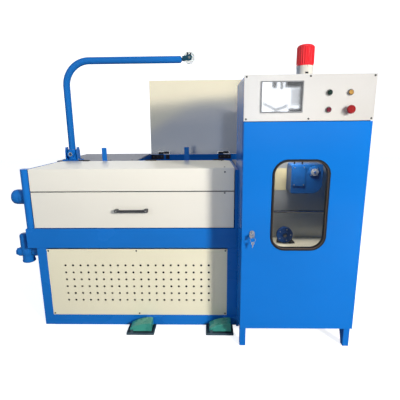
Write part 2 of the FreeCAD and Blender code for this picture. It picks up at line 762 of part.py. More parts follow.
def guide_arm():
    centre = (ARM_X, "arm_y")
    cheek_left = f"{ARM_X} - bracket_span / 2"
    cheek_right = f"{ARM_X} + bracket_span / 2"
    cheek_y = ("arm_y - bracket_cheek_depth / 2", "arm_y + bracket_cheek_depth / 2")
    plate_top = f"{DECK_TOP} + bracket_plate"
    cheek_z = (plate_top, f"{plate_top} + bracket_tall")
    sleeve_radius = "arm_radius + arm_fit + sleeve_wall"
    ring_centre = (ARM_X, f"{plate_top} + ring_z")
    ring_front = "arm_y - arm_radius - sleeve_wall - ring_depth"
    socket = fuse("arm_socket", [
        slab("arm_plate", (f"{ARM_X} - bracket_length / 2", f"{ARM_X} + bracket_length / 2"),
             ("arm_y - bracket_depth / 2", "arm_y + bracket_depth / 2"), (DECK_TOP, plate_top)),
        slab("arm_cheek_left", (cheek_left, f"{cheek_left} + bracket_cheek"), cheek_y, cheek_z),
        slab("arm_cheek_right", (f"{cheek_right} - bracket_cheek", cheek_right), cheek_y, cheek_z),
        slab("arm_web", (cheek_left, cheek_right), ("arm_y - bracket_cheek / 2",
             "arm_y + bracket_cheek / 2"), (plate_top, f"{plate_top} + sleeve_tall")),
        rod("arm_sleeve", "z", centre, (plate_top, f"{plate_top} + sleeve_tall"), sleeve_radius),
        rod("arm_ring", "y", ring_centre, (ring_front, "arm_y"), "ring_radius"),
    ])
    node(cut("arm_bracket", socket, [
        rod("arm_socket_bore", "z", centre, (plate_top, f"{plate_top} + bracket_tall"),
            "arm_radius + arm_fit"),
        rod("arm_ring_bore", "y", ring_centre,
            (f"{ring_front} - 1", f"{ring_front} + ring_depth"), "ring_bore"),
    ]))

    wheel_edge = "-(wheel_x + wheel_radius + fork_rim_gap)"
    bend_x = f"{ARM_X} + arm_bend"
    bend_z = "arm_z - arm_bend"
    elbow = make("Part::Torus", "arm_elbow")
    bind(elbow, "Radius1", "arm_bend")
    bind(elbow, "Radius2", "arm_radius")
    elbow.Angle3 = 90
    elbow.Placement.Rotation = FreeCAD.Rotation(
        FreeCAD.Vector(0, 0, 1), FreeCAD.Vector(-1, 0, 0), FreeCAD.Vector(0, -1, 0), "ZXY")
    put(elbow, bend_x, "arm_y", bend_z)
    node(fuse("guide_arm", [
        rod("arm_pole", "z", centre, (plate_top, bend_z), "arm_radius"),
        elbow,
        rod("arm_boom", "x", ("arm_y", "arm_z"), (bend_x, "-arm_end"), "arm_radius"),
        taper("arm_nose", "x", ("arm_y", "arm_z"), ("-arm_end", f"{wheel_edge} - fork_plate"),
              "arm_radius", "arm_neck_radius"),
    ]))

    wheel_centre = ("-wheel_x", "wheel_z")
    wheel_front = "arm_y - wheel_width / 2"
    wheel_back = "arm_y + wheel_width / 2"
    fork_front = (f"{wheel_front} - fork_gap - fork_plate", f"{wheel_front} - fork_gap")
    fork_back = (f"{wheel_back} + fork_gap", f"{wheel_back} + fork_gap + fork_plate")
    finger_y = f"{fork_front[0]} + finger_radius"
    arms = []
    for side, span in (("front", fork_front), ("back", fork_back)):
        arms.append(rod(f"fork_eye_{side}", "y", wheel_centre, span, "fork_radius"))
        arms.append(slab(f"fork_arm_{side}", (wheel_edge + " - fork_plate", "-wheel_x"), span,
                         ("arm_z - arm_neck_radius", "wheel_z + 2 * fork_plate")))
    arms += [
        slab("fork_crosspiece", (wheel_edge + " - fork_plate", wheel_edge),
             (fork_front[0], fork_back[1]), ("arm_z - arm_neck_radius", "wheel_z + 2 * fork_plate")),
        rod("fork_pin", "y", wheel_centre, (fork_front[0], fork_back[1]), "wheel_pin_radius"),
        rod("fork_finger_left", "z", ("-(wheel_x + fork_radius / 2)", finger_y),
            ("wheel_z", "wheel_z + finger_tall"), "finger_radius"),
        rod("fork_finger_right", "z", ("-(wheel_x - fork_radius / 2)", finger_y),
            ("wheel_z", "wheel_z + finger_short"), "finger_radius"),
    ]
    node(fuse("pulley_fork", arms))
    wheel = fuse("guide_wheel_rims", [
        taper("guide_wheel_front", "y", wheel_centre, (wheel_front, "arm_y"),
              "wheel_radius", "wheel_radius - wheel_groove"),
        taper("guide_wheel_back", "y", wheel_centre, ("arm_y", wheel_back),
              "wheel_radius - wheel_groove", "wheel_radius"),
    ])
    node(cut("guide_pulley", wheel, [
        rod("guide_wheel_bore", "y", wheel_centre, (f"{wheel_front} - 1", f"{wheel_back} + 1"),
            "wheel_pin_radius + wheel_bore_fit")]))


# ---- fittings on the left end ----

def fittings():
    boss_left = f"{BODY_LEFT} - boss_reach"
    boss = rod("boss_body", "x", ("boss_y", "boss_z"), (boss_left, BODY_LEFT), "boss_radius")
    dome = ball("boss_dome", (f"{boss_left} + boss_dome_radius", "boss_y", "boss_z"),
                "boss_dome_radius")
    node(common("inlet_cap", boss, dome))
    pipe = ("drain_y", "drain_z")
    drain_left = f"{BODY_LEFT} - drain_reach"
    elbow_x = f"{BODY_LEFT} - elbow_out"
    node(fuse("drain_fitting", [
        rod("drain_pipe", "x", pipe, (drain_left, BASE_LEFT), "drain_radius"),
        rod("drain_plug", "x", pipe, (drain_left, f"{drain_left} + plug_length"), "plug_radius"),
        rod("drain_elbow", "z", (elbow_x, "drain_y"), ("elbow_bottom", "drain_z"),
            "elbow_radius"),
        ball("drain_crown", (elbow_x, "drain_y", "drain_z"), "elbow_radius"),
        rod("drain_riser", "z", (f"{BODY_LEFT} - riser_out", "drain_y"), ("drain_z", "riser_top"),
            "riser_radius"),
    ]))


# ---- door hinges: pins welded to the cabinet's side, knuckles welded to the door ----

def door_hinges():
    centre = ("cabinet_width + hinge_offset", f"({CARCASS_FRONT} + door_thickness) / 2")
    fixed_parts = []
    moving_parts = []
    door_middle = f"(cabinet_foot + {DOOR_TOP}) / 2"
    starts = ("cabinet_foot + door_hinge_low", f"{door_middle} - hinge_knuckle",
              f"{DOOR_TOP} - door_hinge_high")
    for number, start in enumerate(starts):
        fixed, moving = knuckle_pair(f"door_hinge_{number}", "z", centre, start, "hinge_knuckle",
                                     "hinge_radius", "hinge_pin_radius")
        middle = f"{start} + hinge_knuckle"
        fixed += [
            slab(f"door_hinge_seat_{number}", ("cabinet_width", "cabinet_width + hinge_leaf"),
                 (CARCASS_FRONT, f"{CARCASS_FRONT} + hinge_leaf_width"), (start, middle)),
            slab(f"door_hinge_arm_{number}", ("cabinet_width", "cabinet_width + hinge_offset"),
                 (CARCASS_FRONT, f"{CARCASS_FRONT} + hinge_leaf"), (start, middle)),
        ]
        fixed_parts.append(fuse(f"door_hinge_fixed_{number}", fixed))
        moving_parts.append(fuse(f"door_hinge_moving_{number}", [
            moving,
            slab(f"door_hinge_leaf_{number}",
                 (DOOR_RIGHT, "cabinet_width + hinge_offset - hinge_pin_radius - 1"),
                 ("door_thickness - hinge_leaf", "door_thickness"),
                 (f"{middle} + hinge_fit", f"{middle} + hinge_knuckle")),
        ]))
    return fixed_parts, moving_parts


# ---- take-up cabinet ----

def cabinet(pins):
    carcass_y = (CARCASS_FRONT, "cabinet_depth")
    sides = [
        slab("side_left", ("0", "cabinet_sheet"), carcass_y, ("cabinet_foot", "cabinet_height")),
        slab("side_right", ("cabinet_width - cabinet_sheet", "cabinet_width"), carcass_y,
             ("cabinet_foot", "cabinet_height")),
    ]
    node(fuse("cabinet_sides", sides + pins))
    inside_x = ("cabinet_sheet", "cabinet_width - cabinet_sheet")
    inside_y = (CARCASS_FRONT, BACK_INNER)
    shelves = []
    for name, low in (("floor", "cabinet_foot"), ("ceiling", PANEL_BOTTOM),
                      ("top", "cabinet_height - cabinet_sheet")):
        shelves.append(slab("cabinet_" + name, inside_x, inside_y, (low, f"{low} + cabinet_sheet")))
    node(fuse("cabinet_top_and_floors", shelves))
    node(slab("cabinet_back", inside_x, (BACK_INNER, "cabinet_depth"),
              ("cabinet_foot", "cabinet_height")))
    legs = []
    for column, x in enumerate(("leg_inset", "cabinet_width - leg_inset - leg_size")):
        for row, y in enumerate(("leg_setback", "cabinet_depth - leg_inset - leg_size")):
            legs.append(slab(f"leg_{column}{row}", (x, f"{x} + leg_size"), (y, f"{y} + leg_size"),
                             ("0", "cabinet_foot")))
    leg_back = "leg_setback + leg_size"
    for side, x in (("left", "leg_inset + leg_size - brace_sheet"),
                    ("right", "cabinet_width - leg_inset - leg_size")):
        legs.append(brace(f"leg_brace_{side}", (x, f"{x} + brace_sheet"),
                          (leg_back, f"{leg_back} + leg_brace"),
                          ("brace_low", "cabinet_foot - brace_low"), "cabinet_foot"))
    node(fuse("cabinet_legs", legs))
    node(cut("panel_surround",
             slab("surround_block", ("0", "cabinet_width"), ("panel_sheet", CARCASS_FRONT),
                  (PANEL_BOTTOM, "cabinet_height")),
             [slab("surround_hole", ("surround_wall", "cabinet_width - surround_wall"),
                   ("0", f"{CARCASS_FRONT} + 1"),
                   (f"{PANEL_BOTTOM} + surround_wall", "cabinet_height - surround_wall"))]))
    node(slab("control_panel", ("0", "cabinet_width"), ("0", "panel_sheet"),
              (PANEL_BOTTOM, PANEL_TOP)))
    node(slab("touch_screen", ("screen_left", "screen_left + screen_width"), ("-screen_proud", "0"),
              ("screen_bottom", "screen_bottom + screen_tall")))
    node(rod("lamp_foot", "z", ("lamp_x", "lamp_y"),
             ("cabinet_height", "cabinet_height + lamp_foot_tall"), "lamp_foot_radius"))
    lamp_bottom = "cabinet_height + lamp_foot_tall"
    lens = rod("lens_barrel", "z", ("lamp_x", "lamp_y"),
               (lamp_bottom, f"{lamp_bottom} + lamp_tall"), "lamp_radius")
    dome = ball("lens_dome", ("lamp_x", "lamp_y", f"{lamp_bottom} + lamp_tall - lamp_dome_radius"),
                "lamp_dome_radius")
    node(common("lamp_lens", lens, dome))


def cabinet_inside():
    inside_x = ("cabinet_sheet", "cabinet_width - cabinet_sheet")
    node(slab("cabinet_lining", inside_x, (LINING_FRONT, LINING_BACK),
              ("cabinet_foot + cabinet_sheet", PANEL_BOTTOM)))
    node(slab("cabinet_tray", inside_x, ("tray_front", LINING_FRONT),
              ("tray_z", "tray_z + tray_sheet")))
    wheel_centre = ("guide_wheel_x", "guide_wheel_z")
    gap = "guide_box_front - fork_gap"
    front = f"{gap} - guide_wheel_width"
    node(fuse("guide_box", [
        slab("guide_box_block", ("guide_box_left", "guide_box_right"),
             ("guide_box_front", LINING_FRONT), ("guide_box_bottom", "guide_box_top")),
        rod("box_wheel_pin", "y", wheel_centre, (f"{front} - 2", "guide_box_front"),
            "wheel_pin_radius"),
    ]))
    node(cut("box_wheel", rod("box_wheel_disc", "y", wheel_centre, (front, gap),
                              "guide_wheel_radius"),
             [rod("box_wheel_bore", "y", wheel_centre, (f"{front} - 1", f"{gap} + 1"),
                  "wheel_pin_radius + wheel_bore_fit")]))
    spool_centre = ("spool_x", "spool_z")
    spool_back = "spool_front + spool_width"
    node(fuse("take_up_shafts", [
        rod("traverse_rod", "x", ("traverse_y", "traverse_z"), inside_x, "traverse_radius"),
        rod("spool_spindle", "y", spool_centre, ("spool_front - 6", LINING_FRONT),
            "spindle_radius"),
    ]))
    node(cut("spool_flange", rod("spool_disc", "y", spool_centre, ("spool_front", spool_back),
                                 "spool_radius"),
             [rod("spool_bore", "y", spool_centre, ("spool_front - 1", f"{spool_back} + 1"),
                  "spindle_radius + wheel_bore_fit")]))


# ---- door with its window, lock and hinges ----

def door(knuckles):
    opening_x = ("window_left", "window_left + window_width")
    opening_z = ("window_bottom", "window_bottom + window_tall")
    leaf = cut("door_leaf_with_opening",
               slab("door_leaf", ("door_margin", DOOR_RIGHT), ("0", "door_thickness"),
                    ("cabinet_foot", DOOR_TOP)),
               [rounded_slab("door_opening", opening_x, ("-1", "door_thickness + 1"), opening_z,
                             "window_corner")])
    node(fuse("cabinet_door", [leaf] + knuckles))

    def grown(span, by):
        return (f"{span[0]} - ({by})", f"{span[1]} + {by}")

    inner_x = grown(opening_x, "-gasket_wall")
    inner_z = grown(opening_z, "-gasket_wall")
    inner_corner = "window_corner - gasket_wall"
    lip = rounded_slab("gasket_lip_ring", grown(opening_x, "gasket_lip"), ("-gasket_proud", "0"),
                       grown(opening_z, "gasket_lip"), "window_corner + gasket_lip")
    web = rounded_slab("gasket_web_ring", opening_x, ("0", "door_thickness"), opening_z,
                       "window_corner")
    node(cut("window_gasket", fuse("gasket_block", [lip, web]),
             [rounded_slab("gasket_opening", inner_x, ("-gasket_proud - 1", "door_thickness + 1"),
                           inner_z, inner_corner)]))
    node(rounded_slab("window_glass", inner_x,
                      ("glass_set_in", "glass_set_in + glass_thickness"), inner_z, inner_corner))

    barrel_front = "-(lock_plate_thickness + lock_barrel_length)"
    bow_centre_y = f"{barrel_front} - key_shank - key_bow_radius"
    bow_bottom = "lock_z - key_bow_radius"
    ring_z = f"{bow_bottom} - key_ring_radius + 3 * key_wire"
    ring = make("Part::Torus", "key_ring")
    bind(ring, "Radius1", "key_ring_radius")
    bind(ring, "Radius2", "key_wire")
    ring.Placement.Rotation = FreeCAD.Rotation(FreeCAD.Vector(1, 0, 0), 90)
    put(ring, "lock_x", bow_centre_y, ring_z)
    blade_top = f"{ring_z} - key_ring_radius + 2 * key_wire"
    node(fuse("door_lock", [
        rounded_slab("lock_plate", ("lock_x - lock_plate_width / 2", "lock_x + lock_plate_width / 2"),
                     ("-lock_plate_thickness", "0"),
                     ("lock_z - lock_plate_tall / 2", "lock_z + lock_plate_tall / 2"),
                     "lock_plate_width / 2 - 1"),
        rod("lock_barrel", "y", ("lock_x", "lock_z"), (barrel_front, "-lock_plate_thickness"),
            "lock_barrel_radius"),
        slab("key_shank_bar", ("lock_x - key_thickness / 2", "lock_x + key_thickness / 2"),
             (bow_centre_y, barrel_front), ("lock_z - key_wire", "lock_z + key_wire")),
        rod("key_bow", "x", (bow_centre_y, "lock_z"),
            ("lock_x - key_thickness / 2", "lock_x + key_thickness / 2"), "key_bow_radius"),
        ring,
        slab("spare_key_blade", ("lock_x - key_blade_width / 2", "lock_x + key_blade_width / 2"),
             (f"{bow_centre_y} - key_thickness / 2", f"{bow_centre_y} + key_thickness / 2"),
             (f"{blade_top} - key_blade_length", blade_top)),
    ]))


# ---- push buttons ----

BUTTONS = (
    ("start_button", "button_left_x", "button_top_z"),
    ("reset_button", "button_right_x", "button_top_z"),
    ("stop_button", "button_left_x", "button_low_z"),
)


def buttons():
    rings = []
    for name, x, z in BUTTONS:
        rings.append(cut(name + "_ring", rod(name + "_rim", "y", (x, z), ("-bezel_proud", "0"),
                                             "bezel_radius"),
                         [rod(name + "_well", "y", (x, z), ("-bezel_proud - 1", "1"), "bezel_bore")]))
    stop = ("button_right_x", "button_low_z")
    rings.append(cut("stop_ring", rod("stop_rim", "y", stop, ("-bezel_proud", "0"), "bezel_radius"),
                     [rod("stop_well", "y", stop, ("-bezel_proud - 1", "1"),
                          "stop_stem_radius + hinge_fit")]))
    node(fuse("button_bezels", rings))
    for name, x, z in BUTTONS:
        node(rod(name, "y", (x, z), ("-button_proud", "-button_set_in"), "button_radius"))
    node(fuse("emergency_stop", [
        rod("stop_stem", "y", stop, ("-stop_reach", "-button_set_in"), "stop_stem_radius"),
        taper("stop_head", "y", stop, ("-stop_reach", "-(stop_reach - stop_head_depth)"),
              "stop_face_radius", "stop_head_radius"),
    ]))


# ---- foot pedals ----

def pedals():
    trays = []
    bore_radius = "treadle_pin_radius + hinge_fit"
    for number, side in enumerate(("left", "right")):
        start = f"-(pedal_left - {number} * pedal_pitch)"
        tray_x = (start, f"{start} + pedal_length")
        tray_y = ("pedal_front", "pedal_front + pedal_depth")
        treadle_x = (f"{start} + treadle_left", f"{start} + treadle_left + treadle_length")
        treadle_y = ("pedal_front + treadle_front", "pedal_front + treadle_front + treadle_depth")
        pin = (f"{treadle_x[0]} + treadle_pin_in", "treadle_pin_z")
        bore_y = (f"{treadle_y[0]} - 1", f"{treadle_y[1]} + 1")
        tray = cut(f"tray_{side}", slab(f"tray_block_{side}", tray_x, tray_y, ("0", "pedal_rim")),
                   [slab(f"tray_hollow_{side}",
                         (f"{tray_x[0]} + pedal_rim_wall", f"{tray_x[1]} - pedal_rim_wall"),
                         (f"{tray_y[0]} + pedal_rim_wall", f"{tray_y[1]} - pedal_rim_wall"),
                         ("pedal_floor", "pedal_rim + 1"))])
        lug_x = (f"{pin[0]} - 2 * treadle_pin_radius", f"{pin[0]} + 2 * treadle_pin_radius")
        lug_top = "treadle_pin_z + 2 * treadle_pin_radius"
        trays.append(fuse(f"pedal_tray_{side}", [
            tray,
            slab(f"tray_lug_front_{side}", lug_x,
                 (f"{treadle_y[0]} - pedal_rim_wall + 1", f"{treadle_y[0]} - 1"),
                 ("pedal_floor", lug_top)),
            slab(f"tray_lug_back_{side}", lug_x,
                 (f"{treadle_y[1]} + 1", f"{treadle_y[1]} + pedal_rim_wall - 1"),
                 ("pedal_floor", lug_top)),
            rod(f"tray_pin_{side}", "y", pin,
                (f"{treadle_y[0]} - pedal_rim_wall + 1", f"{treadle_y[1]} + pedal_rim_wall - 1"),
                "treadle_pin_radius"),
        ]))
        wedge = common(f"treadle_wedge_{side}",
                       slab(f"treadle_block_{side}", treadle_x, treadle_y,
                            ("treadle_bottom", "treadle_top")),
                       rod(f"treadle_crown_{side}", "y",
                           (f"{treadle_x[0]} + treadle_crown", "treadle_top - treadle_curve"),
                           bore_y, "treadle_curve"))
        node(cut(f"pedal_treadle_{side}", wedge,
                 [rod(f"treadle_bore_{side}", "y", pin, bore_y, bore_radius),
                  slab(f"treadle_slot_{side}",
                       (f"{pin[0]} - ({bore_radius})", f"{pin[0]} + {bore_radius}"), bore_y,
                       ("treadle_bottom - 1", "treadle_pin_z"))]))
    node(fuse("pedal_trays", trays))


# ---- build, check and write ----

def check():
    broken = [piece.Name for piece in doc.Objects
              if "Invalid" in piece.State or "Error" in piece.State]
    broken += [piece.Label for piece in NODES if piece.Shape.isNull() or not piece.Shape.isValid()]
    if broken:
        raise RuntimeError(f"these pieces failed: {broken}")


hinge_pins, hinge_knuckles = door_hinges()
cabinet(hinge_pins)
door(hinge_knuckles)
for section in (base, tank, cones, covers, rear_cover, lid_stops, guide_arm, fittings,
                cabinet_inside, buttons, pedals):
    section()
doc.recompute()
check()
os.makedirs("parts", exist_ok=True)
for piece in NODES:
    piece.Shape.exportStep(f"parts/{piece.Label}.step")
print(len(NODES), "sub-parts written")
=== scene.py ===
import math

import bmesh
import bpy
from mathutils import Matrix, Vector


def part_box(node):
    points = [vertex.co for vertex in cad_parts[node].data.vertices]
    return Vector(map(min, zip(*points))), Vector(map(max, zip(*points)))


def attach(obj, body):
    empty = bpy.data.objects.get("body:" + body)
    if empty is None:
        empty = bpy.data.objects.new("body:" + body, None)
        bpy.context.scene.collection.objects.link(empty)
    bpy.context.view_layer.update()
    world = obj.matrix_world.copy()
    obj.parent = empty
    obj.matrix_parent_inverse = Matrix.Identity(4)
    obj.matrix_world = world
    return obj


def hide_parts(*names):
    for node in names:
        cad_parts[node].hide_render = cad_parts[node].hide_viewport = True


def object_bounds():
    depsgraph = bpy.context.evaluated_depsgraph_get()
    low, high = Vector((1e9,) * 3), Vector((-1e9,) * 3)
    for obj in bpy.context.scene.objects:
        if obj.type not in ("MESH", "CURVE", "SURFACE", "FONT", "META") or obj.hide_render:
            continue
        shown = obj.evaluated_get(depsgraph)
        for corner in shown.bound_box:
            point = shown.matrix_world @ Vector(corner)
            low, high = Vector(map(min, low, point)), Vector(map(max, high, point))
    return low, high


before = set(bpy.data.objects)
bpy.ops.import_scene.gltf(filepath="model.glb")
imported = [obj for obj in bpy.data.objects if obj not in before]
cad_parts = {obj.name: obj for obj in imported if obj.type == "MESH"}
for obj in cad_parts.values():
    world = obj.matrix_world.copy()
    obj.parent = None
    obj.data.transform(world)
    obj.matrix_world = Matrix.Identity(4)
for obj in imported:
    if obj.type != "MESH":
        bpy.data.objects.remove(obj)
cad_low, cad_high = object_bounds()

# ---- Camera ----
# It stands at a tall person's chest height, two steps in front of the cabinet and a hand's width
# to the left of it, and looks a little down, so that both covers' tops show.

panel_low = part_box("control_panel")[0]


def at(x, y, z):
    """A place measured from the cabinet's front left corner on the floor."""
    return Vector((panel_low.x + x, panel_low.y + y, z))


camera_data = bpy.data.cameras.new("camera")
camera_data.lens = 29.855
camera_data.sensor_width = 36.0
camera = bpy.data.objects.new("camera", camera_data)
bpy.context.scene.collection.objects.link(camera)
camera_turn, camera_tilt, camera_roll = 0.0234, 0.2183, -0.0091
camera.matrix_world = (
    Matrix.Translation(at(-0.1798, -1.6993, 1.2579))
    @ Matrix.Rotation(camera_turn, 4, "Z")
    @ Matrix.Rotation(math.pi / 2 - camera_tilt, 4, "X")
    @ Matrix.Rotation(camera_roll, 4, "Z")
)
bpy.context.scene.camera = camera
bpy.context.scene.view_settings.view_transform = "Standard"

# ---- Studio ----
# The camera alone sees a white floor and backdrop. The machine stands on a dull floor under a sky
# that is grey at the horizon, lit by a key lamp at the right, a fill lamp at the left and a small
# one in the cabinet. The upright cards are there for the polished sheets to mirror.


def surface(name, light, dark, rough, metallic=0.0, tone=(2.0, 2.0, 2.0), grain=(300.0,) * 3,
            relief=0.0001, **sockets):
    """A finish whose colour and gloss drift slowly over it, above a fine grain in relief."""
    made = bpy.data.materials.new(name)
    made.use_nodes = True
    tree = made.node_tree
    shader = tree.nodes["Principled BSDF"]
    shader.inputs["Metallic"].default_value = metallic
    for socket, value in sockets.items():
        shader.inputs[socket.replace("_", " ")].default_value = value
    place = tree.nodes.new("ShaderNodeTexCoord")
    patterns = []
    for scale, detail in ((tone, 4.0), (grain, 2.0)):
        stretch = tree.nodes.new("ShaderNodeMapping")
        stretch.inputs["Scale"].default_value = scale
        tree.links.new(place.outputs["Object"], stretch.inputs["Vector"])
        pattern = tree.nodes.new("ShaderNodeTexNoise")
        pattern.inputs["Scale"].default_value = 1.0
        pattern.inputs["Detail"].default_value = detail
        tree.links.new(stretch.outputs["Vector"], pattern.inputs["Vector"])
        patterns.append(pattern)
    drift = tree.nodes.new("ShaderNodeValToRGB")
    drift.color_ramp.elements[0].position = 0.35
    drift.color_ramp.elements[0].color = (*dark, 1.0)
    drift.color_ramp.elements[1].position = 0.65
    drift.color_ramp.elements[1].color = (*light, 1.0)
    tree.links.new(patterns[0].outputs["Fac"], drift.inputs["Fac"])
    tree.links.new(drift.outputs["Color"], shader.inputs["Base Color"])
    gloss = tree.nodes.new("ShaderNodeMapRange")
    gloss.inputs["From Min"].default_value = 0.3
    gloss.inputs["From Max"].default_value = 0.7
    gloss.inputs["To Min"].default_value = rough[0]
    gloss.inputs["To Max"].default_value = rough[1]
    tree.links.new(patterns[0].outputs["Fac"], gloss.inputs["Value"])
    tree.links.new(gloss.outputs["Result"], shader.inputs["Roughness"])
    bump = tree.nodes.new("ShaderNodeBump")
    bump.inputs["Strength"].default_value = 1.0
    bump.inputs["Distance"].default_value = relief
    tree.links.new(patterns[1].outputs["Fac"], bump.inputs["Height"])
    tree.links.new(bump.outputs["Normal"], shader.inputs["Normal"])
    return made


def object_of(name, shape, finish):
    """Makes an object of a shape, with its flat faces flat and its round ones smooth."""
    bmesh.ops.recalc_face_normals(shape, faces=shape.faces)
    mesh = bpy.data.meshes.new(name)
    shape.to_mesh(mesh)
    shape.free()
    mesh.polygons.foreach_set("use_smooth", [True] * len(mesh.polygons))
    mesh.set_sharp_from_angle(angle=math.radians(35))
    mesh.materials.append(finish)
    made = bpy.data.objects.new(name, mesh)
    bpy.context.scene.collection.objects.link(made)
    return made


def glow(name, colour=(1.0, 1.0, 1.0)):
    """An even light from a surface, a little mottled."""
    made = surface(name, colour, tuple(0.98 * part for part in colour), (0.9, 1.0),
                   Specular_IOR_Level=0.0, Emission_Strength=1.0)
    made.node_tree.nodes["Principled BSDF"].inputs["Emission Color"].default_value = (*colour, 1.0)
    return made


def stage(name, shape, finish, seen_by):
    """Makes a piece of the studio that only some kinds of rays see."""
    made = object_of(name, shape, finish)
    for rays in ("camera", "diffuse", "glossy", "transmission", "shadow"):
        setattr(made, "visible_" + rays, rays in seen_by)
    return made


floor_radius = 14.0
floor_shape = bmesh.new()
bmesh.ops.create_circle(floor_shape, cap_ends=True, radius=floor_radius, segments=96)
floor_paint = surface("floor_paint", (0.62, 0.62, 0.62), (0.60, 0.60, 0.60), (0.6, 0.75),
                      grain=(40.0,) * 3, relief=0.0002, Emission_Strength=0.78)
floor_paint.node_tree.nodes["Principled BSDF"].inputs["Emission Color"].default_value = (1, 1, 1, 1)
floor = stage("floor", floor_shape, floor_paint, ("camera",))
floor.location.z = -0.0006
dull_shape = bmesh.new()
bmesh.ops.create_circle(dull_shape, cap_ends=True, radius=floor_radius, segments=96)
dull_paint = surface("dull_floor_paint", (0.34, 0.34, 0.35), (0.30, 0.30, 0.31), (0.6, 0.75),
                     grain=(40.0,) * 3, relief=0.0002)
dull_floor = stage("dull_floor", dull_shape, dull_paint,
                   ("diffuse", "glossy", "transmission", "shadow"))
dull_floor.location.z = -0.0010

dome = bmesh.new()
bmesh.ops.create_uvsphere(dome, u_segments=64, v_segments=32, radius=floor_radius - 0.1)
stage("backdrop", dome, glow("backdrop_paint"), ("camera",))

sky = bpy.data.worlds.new("sky")
sky.use_nodes = True
tree = sky.node_tree
direction = tree.nodes.new("ShaderNodeTexCoord")
split = tree.nodes.new("ShaderNodeSeparateXYZ")
rise = tree.nodes.new("ShaderNodeValToRGB")
rise.color_ramp.elements[0].position = 0.03
rise.color_ramp.elements[0].color = (0.20, 0.22, 0.26, 1.0)
rise.color_ramp.elements[1].position = 0.34
rise.color_ramp.elements[1].color = (0.68, 0.76, 0.92, 1.0)
tree.links.new(direction.outputs["Generated"], split.inputs["Vector"])
tree.links.new(split.outputs["Z"], rise.inputs["Fac"])
tree.links.new(rise.outputs["Color"], tree.nodes["Background"].inputs["Color"])
tree.nodes["Background"].inputs["Strength"].default_value = 0.50
bpy.context.scene.world = sky

machine_middle = (cad_low + cad_high) / 2


def lamp(name, place, size, power, colour=(1.0, 1.0, 1.0), aim=machine_middle):
    """A soft square lamp that shows in no reflection."""
    data = bpy.data.lights.new(name, "AREA")
    data.size = size
    data.energy = power
    data.color = colour
    made = bpy.data.objects.new(name, data)
    made.location = place
    made.rotation_mode = "QUATERNION"
    made.rotation_quaternion = (aim - Vector(place)).to_track_quat("-Z", "Y")
    made.visible_camera = False
    made.visible_glossy = False
    bpy.context.scene.collection.objects.link(made)


lamp("key_lamp", (2.9, -4.0, 2.3), 0.6, 235.0, (1.0, 0.97, 0.92))
lamp("fill_lamp", (-3.2, -3.6, 2.6), 2.2, 32.0, (0.94, 0.97, 1.0))
lamp("cabinet_lamp", at(0.30, 0.17, 1.20), 0.14, 3.8, (1.0, 0.97, 0.90), at(0.30, 0.30, 0.60))


def card(name, left, right, low, high, depth, shade, tint=(1.0, 1.0, 1.0)):
    """An upright card that shows only in reflections."""
    shape = bmesh.new()
    shape.faces.new([shape.verts.new((x, depth, z)) for x, z in (
        (left, low[0]), (right, low[1]), (right, high[1]), (left, high[0]))])
    stage(name, shape, glow(name + "_paint", tuple(shade * part for part in tint)), ("glossy",))


blue_tint = (0.86, 1.0, 1.34)
card("white_card", 0.92, 2.40, (0.9, 0.9), (2.34, 2.34), -6.2, 1.50)
card("cream_card", 2.40, 3.60, (0.9, 0.9), (2.24, 2.24), -6.2, 1.02, (1.0, 0.86, 0.66))
card("back_card", -6.0, 6.0, (0.9, 0.9), (5.0, 5.0), 5.0, 0.95, (1.0, 0.98, 0.93))
card("front_card", -3.0, 0.3, (0.2, 0.2), (1.02, 1.02), -4.6, 0.8, (1.0, 0.97, 0.88))
card("upper_card", -3.0, 1.15, (2.12, 2.64), (5.0, 5.0), -4.9, 0.84, (1.0, 0.95, 0.78))
card("grey_card", -3.0, 0.85, (1.02, 1.02), (2.12, 2.60), -4.8, 0.30, (0.96, 1.0, 1.0))
card("slant_card", -1.40, -0.115, (1.02, 1.02), (1.58, 2.41), -4.7, 0.21, blue_tint)
card("blue_card", -0.115, 0.85, (1.02, 1.02), (2.41, 2.45), -4.7, 0.20, blue_tint)
# The dark, dim and band cards, seen only in reflections, paint the dark bars, the grey patch and the
# wavy dark band that the touch screen's film mirrors.
for number, (left, right, low, high) in enumerate((
        (1.50, 1.60, 1.99, 2.2), (1.66, 1.72, 1.97, 2.2), (1.76, 2.10, 2.00, 2.2),
        (2.06, 2.40, 1.40, 2.2), (1.84, 2.10, 1.40, 1.60))):
    card(f"dark_card_{number}", left, right, (low, low), (high, high), -6.0, 0.05)
# A grey-blue card at the cabinet's back, seen only in reflections: the rear cover mirrors it in place
# of the cabinet's paint, a painted reflection.
cabinet_card_wide, cabinet_card_back = 0.636, 0.3815
card("cabinet_card", panel_low.x, panel_low.x + cabinet_card_wide, (1.02, 1.02), (1.52, 1.52),
     panel_low.y + cabinet_card_back, 0.17, blue_tint)
card("dim_card", 1.88, 2.06, (1.64, 1.66), (1.98, 1.98), -6.0, 0.62)
card("reflected_band_card_left", 1.32, 1.60, (1.671, 1.531), (1.743, 1.599), -6.0, 0.35)
card("reflected_band_card_right", 1.60, 1.83, (1.531, 1.617), (1.599, 1.689), -6.0, 0.30)

# ---- Base ----
# A welded frame of square steel tube, sprayed blue: two uprights, the bottom beam with a gusset
# for each pedal, and plain sheet sides.


def enamel(name, colour, dark=0.86, rough=(0.22, 0.34)):
    """Gloss enamel on steel: a slow drift of tone and a fine orange peel."""
    shade = tuple(dark * part for part in colour)
    return surface(name, colour, shade, rough, tone=(1.6, 1.6, 2.4), grain=(260.0,) * 3,
                   relief=0.00006, Specular_IOR_Level=0.18)


